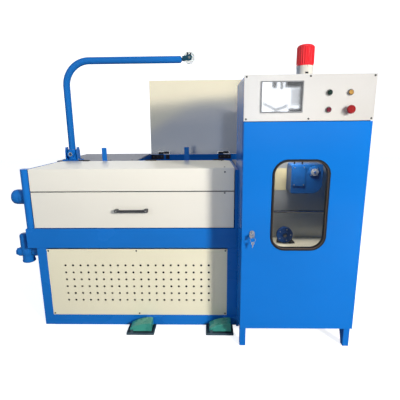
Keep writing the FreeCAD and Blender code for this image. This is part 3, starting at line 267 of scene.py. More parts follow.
def dress(node, finish, edge=0.0):
    """Gives a CAD node its finish, and rounds its edges as the brake and the paint leave them."""
    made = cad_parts[node]
    made.data.materials.clear()
    made.data.materials.append(finish)
    if edge:
        weld = made.modifiers.new("weld", "WELD")
        weld.merge_threshold = 0.00001
        bevel = made.modifiers.new("edge", "BEVEL")
        bevel.width = edge
        bevel.segments = 2
        bevel.limit_method = "ANGLE"
        bevel.angle_limit = math.radians(40)
        made.modifiers.new("shade", "WEIGHTED_NORMAL")


body_blue = enamel("body_blue", (0.009, 0.176, 0.600))
tube_edge = 0.003
sheet_edge = 0.0012
for node in ("base_uprights", "bed_beam"):
    dress(node, body_blue, tube_edge)
for node in ("base_bottom_beam", "base_side_panels"):
    dress(node, body_blue, sheet_edge)

# ---- Perforated panel ----
# A satin sheet behind the uprights, let in between them, with six rows of twenty round holes to
# cool the motor, a near-black sheet behind them that paints the shade inside the holes, and a
# screw at each corner and mid-way.


def block(shape, low, high):
    """Adds a rectangular block between two corners."""
    sides = Vector(high) - Vector(low)
    middle = (Vector(high) + Vector(low)) / 2
    bmesh.ops.create_cube(shape, size=1.0,
                          matrix=Matrix.Translation(middle) @ Matrix.Diagonal((*sides, 1.0)))


AXES = {
    "up": Matrix.Identity(4),
    "back": Matrix.Rotation(-math.pi / 2, 4, "X"),
    "front": Matrix.Rotation(math.pi / 2, 4, "X"),
    "right": Matrix.Rotation(math.pi / 2, 4, "Y"),
    "left": Matrix.Rotation(-math.pi / 2, 4, "Y"),
}


def turned(shape, profile, place, facing="up", steps=40, closed=False):
    """Adds a turned shape: (radius, height) points spun about an axis that leaves place."""
    matrix = Matrix.Translation(place) @ AXES[facing]
    rings = []
    for radius, height in profile:
        turns = steps if radius > 0 else 1
        rings.append([shape.verts.new(matrix @ Vector((
            radius * math.cos(math.tau * turn / steps),
            radius * math.sin(math.tau * turn / steps), height))) for turn in range(turns)])
    pairs = list(zip(rings, rings[1:])) + ([(rings[-1], rings[0])] if closed else [])
    for first, second in pairs:
        for turn in range(steps):
            corners = [first[turn % len(first)], first[(turn + 1) % len(first)],
                       second[(turn + 1) % len(second)], second[turn % len(second)]]
            kept = list(dict.fromkeys(corners))
            if len(kept) > 2:
                shape.faces.new(kept)


def band(shape, first, second):
    """Closes the band between two rings that have as many points."""
    for index in range(len(first)):
        after = (index + 1) % len(first)
        shape.faces.new([first[index], first[after], second[after], second[index]])


def extruded(shape, outline, place, along="up", length=1.0):
    """Adds a straight bar whose section is an outline of (x, y) points, in the axis's own frame."""
    matrix = Matrix.Translation(place) @ AXES[along]
    rings = [[shape.verts.new(matrix @ Vector((x, y, height))) for x, y in outline]
             for height in (0.0, length)]
    shape.faces.new(rings[0])
    shape.faces.new(rings[1])
    band(shape, rings[0], rings[1])


def carve(shape, tool):
    """Cuts one shape out of another and returns what is left."""
    halves = []
    for source in (shape, tool):
        bmesh.ops.recalc_face_normals(source, faces=source.faces)
        mesh = bpy.data.meshes.new("carving")
        source.to_mesh(mesh)
        source.free()
        half = bpy.data.objects.new("carving", mesh)
        bpy.context.scene.collection.objects.link(half)
        halves.append(half)
    cut = halves[0].modifiers.new("cut", "BOOLEAN")
    cut.operation = "DIFFERENCE"
    cut.solver = "EXACT"
    cut.object = halves[1]
    graph = bpy.context.evaluated_depsgraph_get()
    left = bmesh.new()
    left.from_mesh(halves[0].evaluated_get(graph).to_mesh())
    for half in halves:
        bpy.data.objects.remove(half)
    return left


def piece(name, shape, body, finish, edge=0.0, hides=()):
    """Makes a piece of the machine that rides on a body, with its edges rounded."""
    made = object_of(name, shape, finish)
    if edge:
        bevel = made.modifiers.new("edge", "BEVEL")
        bevel.width = edge
        bevel.segments = 2
        bevel.limit_method = "ANGLE"
        bevel.angle_limit = math.radians(35)
        bevel.harden_normals = True
    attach(made, body)
    if hides:
        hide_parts(*hides)
    return made


def screws(name, places, radius, body, finish, facing="front"):
    """Domed screws with a cross slot in each head."""
    heads = bmesh.new()
    slots = bmesh.new()
    tall, arm, half = 0.55 * radius, 0.55 * radius, 0.10 * radius
    cross = [(half, arm), (-half, arm), (-half, half), (-arm, half), (-arm, -half), (-half, -half),
             (-half, -arm), (half, -arm), (half, -half), (arm, -half), (arm, half), (half, half)]
    for place in places:
        turned(heads, [(0, -0.001), (radius, -0.001), (radius, 0.25 * tall),
                       (0.8 * radius, 0.7 * tall), (0.45 * radius, tall), (0, tall)],
               place, facing, 20)
        extruded(slots, cross, Vector(place) + AXES[facing] @ Vector((0, 0, 0.6 * tall)), facing, tall)
    return piece(name, carve(heads, slots), body, finish)


def wave_metal(finish, scale, depth):
    """Adds the slow waves of a thin sheet beneath a finish's fine grain."""
    tree = finish.node_tree
    swell = tree.nodes.new("ShaderNodeTexNoise")
    swell.inputs["Scale"].default_value = scale
    swell.inputs["Detail"].default_value = 1.0
    bump = tree.nodes.new("ShaderNodeBump")
    bump.inputs["Distance"].default_value = depth
    place = tree.nodes.new("ShaderNodeTexCoord")
    tree.links.new(place.outputs["Object"], swell.inputs["Vector"])
    tree.links.new(swell.outputs["Fac"], bump.inputs["Height"])
    fine = tree.nodes["Bump"]
    tree.links.new(bump.outputs["Normal"], fine.inputs["Normal"])


def brushed(name, colour, along=0, rough=(0.24, 0.36), lines=700.0, relief=0.00002, dark=0.93):
    """Brushed stainless steel: fine straight lines along one axis, and a slow drift of tone."""
    grain = [lines] * 3
    grain[along] = 6.0
    tone = [3.0] * 3
    tone[along] = 0.8
    shade = tuple(dark * part for part in colour)
    return surface(name, colour, shade, rough, 1.0, tuple(tone), tuple(grain), relief)


cream_sheet = surface("cream_sheet", (0.93, 0.87, 0.64), (0.88, 0.82, 0.60), (0.34, 0.45), 0.12,
                      (1.2, 1.2, 1.2), (500.0, 500.0, 60.0), 0.00003)
dark_zinc = surface("dark_zinc", (0.16, 0.155, 0.15), (0.08, 0.08, 0.075), (0.3, 0.5), 0.8,
                    (60.0,) * 3, (900.0,) * 3, 0.00002)
zinc = surface("zinc", (0.55, 0.54, 0.50), (0.40, 0.39, 0.36), (0.3, 0.5), 0.9,
               (60.0,) * 3, (900.0,) * 3, 0.00002)

low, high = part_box("perforated_panel")
holes_across, holes_down, hole_pitch, hole_radius = 20, 6, 0.0474, 0.0070
side_margin, top_margin, shade_sheet_margin = 0.110, 0.108, 0.03
sheet = bmesh.new()
block(sheet, low, high)
holes = bmesh.new()
for column in range(holes_across):
    for row in range(holes_down):
        turned(holes, [(0, 0), (hole_radius, 0), (hole_radius, 0.01), (0, 0.01)],
               (low.x + side_margin + column * hole_pitch, low.y - 0.004,
                high.z - top_margin - row * hole_pitch), "back", 20)
piece("perforated_sheet", carve(sheet, holes), "machine", cream_sheet,
      0.0004, ["perforated_panel"])
# A near-black sheet behind the holes: painted shade for the dark inside of the base.
shade_sheet = bmesh.new()
block(shade_sheet, (low.x + shade_sheet_margin, high.y + 0.003, low.z + shade_sheet_margin),
      (high.x - shade_sheet_margin, high.y + 0.008, high.z - shade_sheet_margin))
hole_shade_black = surface("hole_shade_black", (0.012, 0.012, 0.010), (0.005, 0.005, 0.005), (0.9, 1.0), 0.0,
                      (200.0,) * 3, (900.0,) * 3, 0.0004)
piece("hole_shade_sheet", shade_sheet, "machine", hole_shade_black)
screw_inset = 0.011
across = [low.x + screw_inset, (low.x + high.x) / 2, high.x - screw_inset]
up = [low.z + screw_inset, high.z - screw_inset]
screws("perforated_sheet_screws", [(x, low.y, z) for x in across for z in up], 0.0055, "machine",
       dark_zinc)

# ---- Body and drawing tank ----
# Folded and welded sheet on a thick bed plate: the end walls, the partition behind the tank with
# the rail that its cover hangs on, the back, and the housing behind the cabinet.

low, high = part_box("left_end_wall")
post_wide, post_deep, wall_sheet, wall_drop = 0.051, 0.053, 0.004, 0.009
beam_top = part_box("bed_beam")[1].z
beam_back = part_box("bed_beam")[1].y
nose_steps = 12


def arc(middle, radius, start, end, steps):
    """Points along an arc, its angles in degrees."""
    return [(middle[0] + radius * math.cos(math.radians(start + (end - start) * step / steps)),
             middle[1] + radius * math.sin(math.radians(start + (end - start) * step / steps)))
            for step in range(steps + 1)]


half_post = post_wide / 2
post = bmesh.new()
extruded(post, arc((half_post, half_post), half_post, 180, 360, nose_steps)
         + [(post_wide, post_deep), (0, post_deep)], (low.x, low.y, beam_top), "up", high.z - beam_top)
piece("left_post", post, "machine", body_blue, sheet_edge, ["left_end_wall"])
wall = bmesh.new()
block(wall, (low.x, beam_back, low.z), (low.x + wall_sheet, high.y, high.z - wall_drop))
piece("left_wall_sheet", wall, "machine", body_blue, sheet_edge)

for node in ("right_end_wall", "tank_partition", "back_panel", "rear_housing", "bed_plate"):
    dress(node, body_blue, sheet_edge)

# The deck's steel is painted a dark lavender grey, darker than the lid's stainless: painted shade and
# reflection.
deck_shaded_steel = surface("deck_shaded_steel", (0.27, 0.28, 0.33), (0.24, 0.25, 0.30), (0.50, 0.60), 0.45,
                     (0.8, 3.0, 3.0), (6.0, 700.0, 700.0), 0.00001)
dress("rear_decks", deck_shaded_steel, sheet_edge)
deck_front, deck_top = 0.748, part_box("rear_decks")[1].z
screws("deck_screws", [at(-1.06 + 0.16 * step, deck_front + 0.014, deck_top) for step in range(3)],
       0.006, "machine", dark_zinc, "up")

# ---- Fittings on the left end ----
# Cast iron, painted navy: the cap of the tank's filling hole, and the drain's elbow with its
# riser, screwed together, with a hexagon plug to rod the pipe through.

navy = enamel("navy_enamel", (0.009, 0.160, 0.530), 0.75, (0.26, 0.42))
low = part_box("left_end_wall")[0]
wall_left = low.x - panel_low.x
cap = bmesh.new()
turned(cap, [(0, 0), (0.040, 0), (0.040, 0.010), (0.045, 0.014), (0.0465, 0.022), (0.0465, 0.040),
             (0.0445, 0.044), (0.0445, 0.048), (0.0465, 0.052), (0.0460, 0.070), (0.0430, 0.083),
             (0.036, 0.092), (0.022, 0.0965), (0, 0.0975)],
       at(wall_left, 0.310, 0.838), "left", 64)
piece("filling_cap", cap, "machine", navy, 0.0008, ["inlet_cap"])

elbow_out, riser_out, plug_out, elbow_radius = 0.041, 0.053, 0.112, 0.0394
drain = bmesh.new()
turned(drain, [(0, 0.412), (0.033, 0.412), (elbow_radius, 0.417), (elbow_radius, 0.425),
               (0.0365, 0.429), (0.0365, 0.464), (elbow_radius, 0.468)]
       + [(elbow_radius * math.cos(turn * math.pi / 16),
           0.478 + elbow_radius * math.sin(turn * math.pi / 16)) for turn in range(8)]
       + [(0, 0.478 + elbow_radius)], at(wall_left - elbow_out, 0.300, 0.0), "up", 48)
turned(drain, [(0, 0.478), (0.030, 0.478), (0.030, 0.586), (0.0275, 0.596), (0.020, 0.6015),
               (0, 0.602)], at(wall_left - riser_out, 0.300, 0.0), "up", 40)
turned(drain, [(0, 0), (0.027, 0), (0.027, 0.075), (0.028, 0.080), (0.028, 0.096), (0, 0.096)],
       at(wall_left, 0.300, 0.478), "left", 32)
turned(drain, [(0, 0), (0.021, 0), (0.025, 0.003), (0.025, 0.023), (0.021, 0.026), (0, 0.026)],
       at(wall_left - plug_out + 0.026, 0.300, 0.478), "left", 6)
turned(drain, [(0, 0), (0.027, 0), (0.027, 0.06), (0, 0.06)],
       at(wall_left + 0.05, 0.300, 0.478), "left", 32)
piece("drain_casting", drain, "machine", navy, 0.0008, ["drain_fitting"])

# ---- Drawing cones ----
# Ground steel, each a stack of five steps with a small lip, keyed on a shaft that comes through
# the partition and held by a nut.

cones_left, cone_pitch, cone_height, partition_front = -1.080, 0.290, 0.790, 0.692
cone_steel = brushed("cone_steel", (0.62, 0.61, 0.58), 1, (0.18, 0.3), 500.0)
cones = bmesh.new()
nuts = bmesh.new()
for number in range(4):
    place = at(cones_left + number * cone_pitch, partition_front, cone_height)
    profile = [(0, 0), (0.055, 0), (0.055, 0.024)]
    for step in range(5):
        radius, start = 0.092 - 0.009 * step, 0.024 + 0.026 * step
        profile += [(radius, start), (radius, start + 0.003), (radius - 0.002, start + 0.005),
                    (radius - 0.002, start + 0.026)]
    turned(cones, profile + [(0.030, 0.154), (0.026, 0.146), (0, 0.146)], place, "front", 72)
    turned(nuts, [(0, 0.140), (0.014, 0.140), (0.014, 0.152), (0, 0.152)], place, "front", 6)
piece("stepped_cones", cones, "machine", cone_steel, 0.0006, ["drawing_cones"])
piece("cone_nuts", nuts, "machine", zinc, 0.0008)

# ---- Top cover and front flap ----
# Two folded stainless sheets, brushed lengthways. The flap hangs from the lid on a fine dark
# hinge in the seam, with a black strip behind the seam that paints the shade in it, and both
# have screws along the right edge.

lid_steel = surface("lid_steel", (0.95, 0.91, 0.80), (0.91, 0.87, 0.76), (0.30, 0.42), 0.22,
                    (0.6, 2.0, 2.0), (5.0, 700.0, 700.0), 0.000006)
hinge_steel = surface("hinge_steel", (0.022, 0.022, 0.024), (0.012, 0.012, 0.013), (0.35, 0.5),
                      0.6, (40.0,) * 3, (600.0,) * 3, 0.00003)
dress("lid_hinge_pins", hinge_steel, 0.0006)
low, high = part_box("top_cover")
cover_sheet, bend, lid_top, lid_back, lid_corner = 0.003, 0.005, 1.019, 0.706, 0.060
seam_top, seam_bottom, flap_bottom = 0.8851, 0.8789, 0.657
cover_face = at(0.0, 0.232, 0.0).y
depth = lid_back - 0.232
lid = bmesh.new()
extruded(lid, [(0, depth)] + arc((bend, bend), bend, 180, 270, 6)
         + [(lid_top - seam_top, 0), (lid_top - seam_top, cover_sheet), (bend, cover_sheet),
            (cover_sheet, bend), (cover_sheet, depth)], (low.x, cover_face, lid_top),
         "right", high.x - low.x)
corners = bmesh.new()
for side, start in ((low.x, 180), (high.x, 0)):
    inward = 1 if side == low.x else -1
    extruded(corners, [(side - inward * 0.01, cover_face + depth + 0.01),
                       (side - inward * 0.01, cover_face + depth - lid_corner)]
             + arc((side + inward * lid_corner, cover_face + depth - lid_corner), lid_corner,
                   start, 90, 10)
             + [(side + inward * lid_corner, cover_face + depth + 0.01)],
             (0.0, 0.0, lid_top - 0.02), "up", 0.04)
piece("lid_sheet", carve(lid, corners), "top_cover", lid_steel, 0.0, ["top_cover"])
flap = bmesh.new()
block(flap, (low.x, cover_face, flap_bottom), (high.x, cover_face + cover_sheet, seam_bottom))
piece("flap_sheet", flap, "front_flap", lid_steel, 0.0008, ["front_flap"])

hinge_starts = [-1.120 + 0.490 * number for number in range(3)]
lid_leaves_and_seam_shade, flap_leaves = bmesh.new(), bmesh.new()
axis_y, seam_z, knuckle_long, fine_radius = 0.2335, 0.882, 0.040, 0.0019
for start in hinge_starts:
    turned(lid_leaves_and_seam_shade, [(0.0032, 0.0003), (0.005, 0.0003), (0.005, knuckle_long),
                        (0.0032, knuckle_long)], at(start + knuckle_long, 0.713, 1.021),
           "right", 24, True)
    block(lid_leaves_and_seam_shade, at(start + knuckle_long + 0.0003, 0.687, lid_top),
          at(start + 2 * knuckle_long, 0.709, lid_top + 0.002))
    turned(flap_leaves, [(0, 0.0003), (fine_radius, 0.0003), (fine_radius, knuckle_long),
                         (0, knuckle_long)], at(start + knuckle_long, axis_y, seam_z), "right", 16)
    turned(lid_leaves_and_seam_shade, [(0, 0), (fine_radius, 0), (fine_radius, knuckle_long), (0, knuckle_long)],
           at(start, axis_y, seam_z), "right", 16)
# A black strip across the width behind the seam: painted shade for the seam's dark line.
block(lid_leaves_and_seam_shade, (low.x + 0.002, cover_face + cover_sheet + 0.0014, seam_z - 0.012),
      (high.x - 0.002, cover_face + cover_sheet + 0.0026, seam_z + 0.012))
piece("lid_hinge_leaves_and_seam_shade", lid_leaves_and_seam_shade, "top_cover", hinge_steel)
piece("flap_hinge_knuckles", flap_leaves, "front_flap", hinge_steel)
bright_steel = brushed("bright_steel", (0.66, 0.66, 0.65), 0, (0.2, 0.32), 400.0)
cover_right = high.x
edge_screw_in = 0.056
screws("lid_front_screws", [(cover_right - edge_screw_in, cover_face, lid_top - 0.022)],
       0.005, "top_cover", dark_zinc)
screws("lid_top_screws", [(cover_right - edge_screw_in, cover_face + 0.05, lid_top),
                          (cover_right - edge_screw_in, cover_face + 0.43, lid_top)],
       0.005, "top_cover", dark_zinc, "up")
screws("flap_screws", [(cover_right - edge_screw_in, cover_face, 0.872)],
       0.005, "front_flap", dark_zinc)

# ---- Flap handle ----
# A moulded bow handle, dark grey: a flat bar with rounded edges between two feet, each foot
# closed by a paler cap with a screw through it.

handle_plastic = surface("handle_plastic", (0.050, 0.052, 0.056), (0.032, 0.033, 0.036),
                         (0.38, 0.5), 0.0, (30.0,) * 3, (1500.0,) * 3, 0.00004)
cap_plastic = surface("cap_plastic", (0.16, 0.155, 0.15), (0.11, 0.11, 0.11), (0.3, 0.42), 0.0,
                      (30.0,) * 3, (1500.0,) * 3, 0.00002)
low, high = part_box("flap_handle")
foot_wide, bar_thick, cap_thick, cap_margin = 0.022, 0.010, 0.002, 0.003
grip = bmesh.new()
block(grip, (low.x + foot_wide / 2, low.y + cap_thick, low.z + 0.002),
      (high.x - foot_wide / 2, low.y + cap_thick + bar_thick, high.z - 0.002))
caps = bmesh.new()
for left in (low.x, high.x - foot_wide):
    block(grip, (left, low.y + cap_thick, low.z), (left + foot_wide, high.y, high.z))
    block(caps, (left + cap_margin, low.y, low.z + cap_margin),
          (left + foot_wide - cap_margin, low.y + 2 * cap_thick, high.z - cap_margin))
piece("handle_grip", grip, "front_flap", handle_plastic, 0.0035, ["flap_handle"])
piece("handle_caps", caps, "front_flap", cap_plastic, 0.0012)
middle_z = (low.z + high.z) / 2
screws("handle_screws", [(left + foot_wide / 2, low.y, middle_z)
                         for left in (low.x, high.x - foot_wide)],
       0.0035, "front_flap", zinc)

# ---- Rear cover ----
# One polished stainless sheet over the drive, laid back on three butt hinges. Each has a black
# leaf on the sheet and a tab of the sheet's steel behind it. Inside the machine's back are three
# black plates, two of them with bolts.

mirror_steel = brushed("mirror_steel", (0.80, 0.77, 0.70), 0, (0.11, 0.16), 300.0, 0.00001)
wave_metal(mirror_steel, 1.3, 0.004)
black_steel = surface("black_steel", (0.022, 0.022, 0.026), (0.012, 0.012, 0.014), (0.3, 0.45),
                      0.0, (20.0,) * 3, (600.0,) * 3, 0.00005)
low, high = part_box("rear_cover")
cover_left, cover_end = low.x - panel_low.x, high.x - panel_low.x
cover_foot, cover_head, notch_top, rear_knuckle, rear_radius = -0.014, 0.639, 0.010, 0.050, 0.007
rear_hinges = [-0.632 + 0.550 * number for number in range(3)]
outline = [(cover_end, cover_foot), (cover_end, cover_head), (cover_left, cover_head),
           (cover_left, cover_foot)]
for start in rear_hinges:
    end = start + 2 * rear_knuckle + 0.002
    outline += [(start - 0.002, cover_foot), (start - 0.002, notch_top), (end, notch_top),
                (end, cover_foot)]
tab_front, tab_back, tab_foot, tab_top = -0.0025, 0.0008, 0.0084, 0.034
leaf_front, leaf_back, leaf_top, lip_foot, lip_top = 0.0042, 0.007, 0.040, -0.013, 0.0083
sheet, leaves, tabs = bmesh.new(), bmesh.new(), bmesh.new()
extruded(sheet, outline, (0.0, 0.004, 0.0), "front", 0.003)
for start in rear_hinges:
    middle, end = start + rear_knuckle, start + 2 * rear_knuckle
    block(tabs, (start, tab_front, tab_foot), (end, tab_back, tab_top))
    block(leaves, (middle, leaf_front, 0.0), (end, leaf_back, leaf_top))
    block(leaves, (middle + 0.001, tab_front, lip_foot), (end, tab_back, lip_top))
    turned(leaves, [(0.0038, 0.0003), (rear_radius, 0.0003), (rear_radius, rear_knuckle),
                    (0.0038, rear_knuckle)], (middle, 0.0, 0.0), "right", 32, True)
rear_axis, rear_lean = at(0.0, 1.386, 1.024), -3.0
lean = Matrix.Translation(rear_axis) @ Matrix.Rotation(math.radians(rear_lean), 4, "X")
for shape in (sheet, leaves, tabs):
    bmesh.ops.transform(shape, matrix=lean, verts=shape.verts)
piece("rear_cover_sheet", sheet, "rear_cover", mirror_steel, 0.0006, ["rear_cover"])
piece("rear_hinge_leaves", leaves, "rear_cover", black_steel, 0.0005)
piece("rear_hinge_tabs", tabs, "rear_cover", mirror_steel, 0.0005)
dress("rear_hinge_pins", black_steel, 0.0008)
back_face, plate_thick, plates_top, bolts_up, compartment_left = 1.374, 0.003, 1.006, 0.986, -0.702
plates = bmesh.new()
for left, wide, tall in ((0.004, 0.116, 0.040), (0.139, 0.034, 0.040), (0.622, 0.116, 0.040)):
    block(plates, at(compartment_left + left, back_face - plate_thick, plates_top - tall),
          at(compartment_left + left + wide, back_face, plates_top))
piece("rear_hinge_plates", plates, "machine", black_steel, 0.0008)
screws("rear_hinge_bolts", [at(compartment_left + left + step, back_face - plate_thick, bolts_up)
                            for left in (0.004, 0.622) for step in (0.022, 0.058, 0.094)],
       0.006, "machine", dark_zinc)

# ---- Lid stops ----
# Two bent straps of flat bar on the rail, painted with the body, that the open lid leans on.

dress("lid_stops", body_blue, 0.0015)

# ---- Guide arm ----
# A bent steel tube, closed by a drawn-in nose, that stands in a welded socket: two cheeks and a
# web round a sleeve, with a ring in front that the wire passes through.


def tube(shape, path, radii, steps=40):
    """Adds a round bar along a path that lies in one plane facing the operator."""
    rings = []
    for index, point in enumerate(path):
        before, after = path[max(index - 1, 0)], path[min(index + 1, len(path) - 1)]
        ahead = (after - before).normalized()
        side = ahead.cross(Vector((0, 1, 0))).normalized()
        rings.append([shape.verts.new(point + radii[index] * (
            math.cos(math.tau * turn / steps) * side
            + math.sin(math.tau * turn / steps) * Vector((0, 1, 0)))) for turn in range(steps)])
    for first, second in zip(rings, rings[1:]):
        band(shape, first, second)
    shape.faces.new(rings[0])
    shape.faces.new(rings[-1])


arm_blue = enamel("arm_blue", (0.010, 0.165, 0.545), 0.9, (0.16, 0.26))
arm_x, arm_y, arm_radius, bend_radius, arm_foot = -1.190, 0.787, 0.024, 0.175, 1.026
boom_height, boom_end, nose_end = 1.718, -0.368, -0.353
bend_steps = 24
path = [at(arm_x, arm_y, arm_foot), at(arm_x, arm_y, 1.30)]
path += [at(arm_x + bend_radius * (1 - math.cos(turn * math.pi / 2 / bend_steps)), arm_y,
            boom_height - bend_radius * (1 - math.sin(turn * math.pi / 2 / bend_steps)))
         for turn in range(bend_steps + 1)]
path += [at(x, arm_y, boom_height) for x in (-0.70, boom_end, boom_end + 0.005,
                                             boom_end + 0.011, nose_end)]
radii = [arm_radius] * (len(path) - 3) + [0.0215, 0.0130, 0.0090]
arm = bmesh.new()
tube(arm, path, radii)
arm_tube = piece("arm_tube", arm, "machine", arm_blue, 0.0, ["guide_arm"])
# The tube is kept out of all reflections.
arm_tube.visible_glossy = False

low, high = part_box("arm_bracket")
plate_tall, cheek_thick, cheek_half_deep, cheek_half_span = 0.008, 0.006, 0.031, 0.045
sleeve_wall, sleeve_tall, ring_up, ring_radius, ring_bore = 0.0073, 0.072, 0.040, 0.025, 0.012
plate_top = low.z + plate_tall
socket = bmesh.new()
block(socket, low, (high.x, high.y, plate_top))
middle = at(arm_x, arm_y, 0.0)
cheek = [(0, -cheek_half_deep), (-0.058, -cheek_half_deep), (-0.090, -cheek_half_deep + 0.012),
         (-0.090, cheek_half_deep - 0.012), (-0.058, cheek_half_deep), (0, cheek_half_deep)]
for left in (-cheek_half_span, cheek_half_span - cheek_thick):
    extruded(socket, cheek, (middle.x + left, middle.y, plate_top), "right", cheek_thick)
block(socket, (middle.x - cheek_half_span, middle.y - cheek_thick / 2, plate_top),
      (middle.x + cheek_half_span, middle.y + cheek_thick / 2, plate_top + sleeve_tall))
bore = arm_radius + 0.0003
turned(socket, [(bore, 0), (bore + sleeve_wall, 0), (bore + sleeve_wall, sleeve_tall),
                (bore, sleeve_tall)], (middle.x, middle.y, plate_top), "up", 48, True)
turned(socket, [(ring_bore, 0), (ring_radius, 0), (ring_radius, 0.021), (ring_radius - 0.002, 0.023),
                (ring_bore + 0.003, 0.023), (ring_bore, 0.020)],
       at(arm_x, 0.763, plate_top + ring_up), "front", 48, True)
piece("arm_socket", socket, "machine", body_blue, 0.0012, ["arm_bracket"])
bush = bmesh.new()
turned(bush, [(0.008, 0), (ring_bore - 0.0002, 0), (ring_bore - 0.0002, 0.022), (0.014, 0.0225),
              (0.014, 0.0232), (0.0095, 0.0232), (0.008, 0.021)],
       at(arm_x, 0.763, plate_top + ring_up), "front", 48, True)
piece("arm_ring_bush", bush, "machine", bright_steel)
bolts = bmesh.new()
for x in (low.x + 0.010, high.x - 0.010):
    for y in (low.y + 0.014, high.y - 0.014):
        turned(bolts, [(0, 0), (0.0075, 0), (0.0075, 0.0045), (0.0062, 0.0055), (0, 0.0055)],
               (x, y, plate_top), "up", 6)
        turned(bolts, [(0, -0.0005), (0.0095, -0.0005), (0.0095, 0.0008), (0, 0.0008)],
               (x, y, plate_top), "up", 24)
piece("arm_bolts", bolts, "machine", zinc)

# ---- Guide pulley ----
# A white nylon wheel with a V groove and a steel bearing, between the two plates of a dark
# painted fork that is welded to the arm's nose. Two pins on the fork keep the wire in.

wheel_x, wheel_z, wheel_radius, wheel_wide = -0.304, 1.729, 0.041, 0.014
bearing_radius, pin_radius, fork_gap, fork_sheet, fork_eye = 0.015, 0.006, 0.005, 0.005, 0.020
white_nylon = surface("white_nylon", (0.83, 0.85, 0.84), (0.76, 0.78, 0.77), (0.32, 0.45), 0.0,
                      (30.0,) * 3, (900.0,) * 3, 0.00002, Subsurface_Weight=0.05)
rim = bmesh.new()
turned(rim, [(bearing_radius, 0.002), (0.020, 0.002), (0.022, 0.0035), (0.032, 0.0035),
             (0.034, 0.0), (0.0405, 0.0), (wheel_radius, 0.0012), (0.0350, 0.0070),
             (wheel_radius, 0.0128), (0.0405, wheel_wide), (0.034, wheel_wide),
             (0.032, 0.0105), (0.022, 0.0105), (0.020, 0.012), (bearing_radius, 0.012)],
       at(wheel_x, arm_y + wheel_wide / 2, wheel_z), "front", 72, True)
rim_piece = piece("pulley_rim", rim, "guide_pulley", white_nylon, 0.0,
                  ["guide_pulley"])
bearing = bmesh.new()
turned(bearing, [(pin_radius + 0.0003, 0.001), (0.0085, 0.001), (0.0090, 0.002), (0.0125, 0.002),
                 (0.0130, 0.001), (bearing_radius, 0.001), (bearing_radius, 0.013),
                 (0.0130, 0.013), (0.0125, 0.012), (0.0090, 0.012), (0.0085, 0.013),
                 (pin_radius + 0.0003, 0.013)],
       at(wheel_x, arm_y + wheel_wide / 2, wheel_z), "front", 48, True)
bearing_piece = piece("pulley_bearing", bearing, "guide_pulley", bright_steel)

fork_teal = enamel("fork_teal", (0.012, 0.070, 0.115), 0.7, (0.3, 0.45))
fork = bmesh.new()
fork_front = arm_y - wheel_wide / 2 - fork_gap
fork_back = arm_y + wheel_wide / 2 + fork_gap + fork_sheet
fork_low, fork_high = boom_height - 0.009, wheel_z + 0.010
fork_left = nose_end
for back in (fork_front, fork_back):
    extruded(fork, [(fork_left, fork_low)]
             + arc((wheel_x, wheel_z), fork_eye, -90, 90, 16)
             + [(fork_left + 0.012, fork_high), (fork_left, fork_high)],
             at(0.0, back, 0.0), "front", fork_sheet)
block(fork, at(fork_left, fork_front - fork_sheet, fork_low),
      at(fork_left + fork_sheet, fork_back, fork_high))
turned(fork, [(0, 0), (pin_radius, 0), (pin_radius, 0.034), (0, 0.034)],
       at(wheel_x, fork_back, wheel_z), "front", 24)
fork_piece = piece("pulley_fork_plates", fork, "machine", fork_teal, 0.0012,
                   ["pulley_fork"])
fingers = bmesh.new()
for x, tall in ((wheel_x - fork_eye / 2, 0.034), (wheel_x + fork_eye / 2, 0.027)):
    turned(fingers, [(0, 0), (0.004, 0), (0.004, tall - 0.002), (0.0025, tall), (0, tall)],
           at(x, fork_front - fork_sheet + 0.004, wheel_z), "up", 20)
fingers_piece = piece("fork_fingers", fingers, "machine", black_steel)
axle_nut = bmesh.new()
turned(axle_nut, [(0, -0.0005), (0.009, -0.0005), (0.009, 0.0), (0, 0.0)],
       at(wheel_x, fork_front - fork_sheet, wheel_z), "front", 6)
nut_piece = piece("fork_axle_nut", axle_nut, "machine", zinc)
# These are kept out of all reflections, like the tube.
for part in (rim_piece, bearing_piece, fork_piece, fingers_piece, nut_piece):
    part.visible_glossy = False

# ---- Take-up cabinet ----
# Folded and welded sheet on four short legs of square tube, each front one with a brace behind
# it, sprayed a glossier blue than the body. A packing block stands on the floor under its left
# side, beside the base's upright. The pins of the door's hinges are on its right side.

cabinet_blue = enamel("cabinet_blue", (0.006, 0.155, 0.560), 0.93, (0.16, 0.26))
for node in ("cabinet_sides", "cabinet_top_and_floors", "cabinet_back", "cabinet_legs",
             "panel_surround"):
    dress(node, cabinet_blue, sheet_edge)
side_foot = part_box("cabinet_sides")[0].z
packing_left, packing_right, packing_front, packing_back = 0.0006, 0.018, 0.2135, 0.265
packing = bmesh.new()
block(packing, at(packing_left, packing_front, 0.0),
      at(packing_right, packing_back, side_foot + 0.0002))
piece("cabinet_packing", packing, "machine", body_blue, sheet_edge)

# ---- Inside the cabinet ----
# Stainless sheet lines the walls over a cream tray. The lining is painted dark grey as the shade
# inside the cabinet, and a cream plate on its back is a painted patch of light. A cast box holds
# the small steel wheel that leads the wire in, a ground bar carries the traverse, and the spool's
# flange is below it.

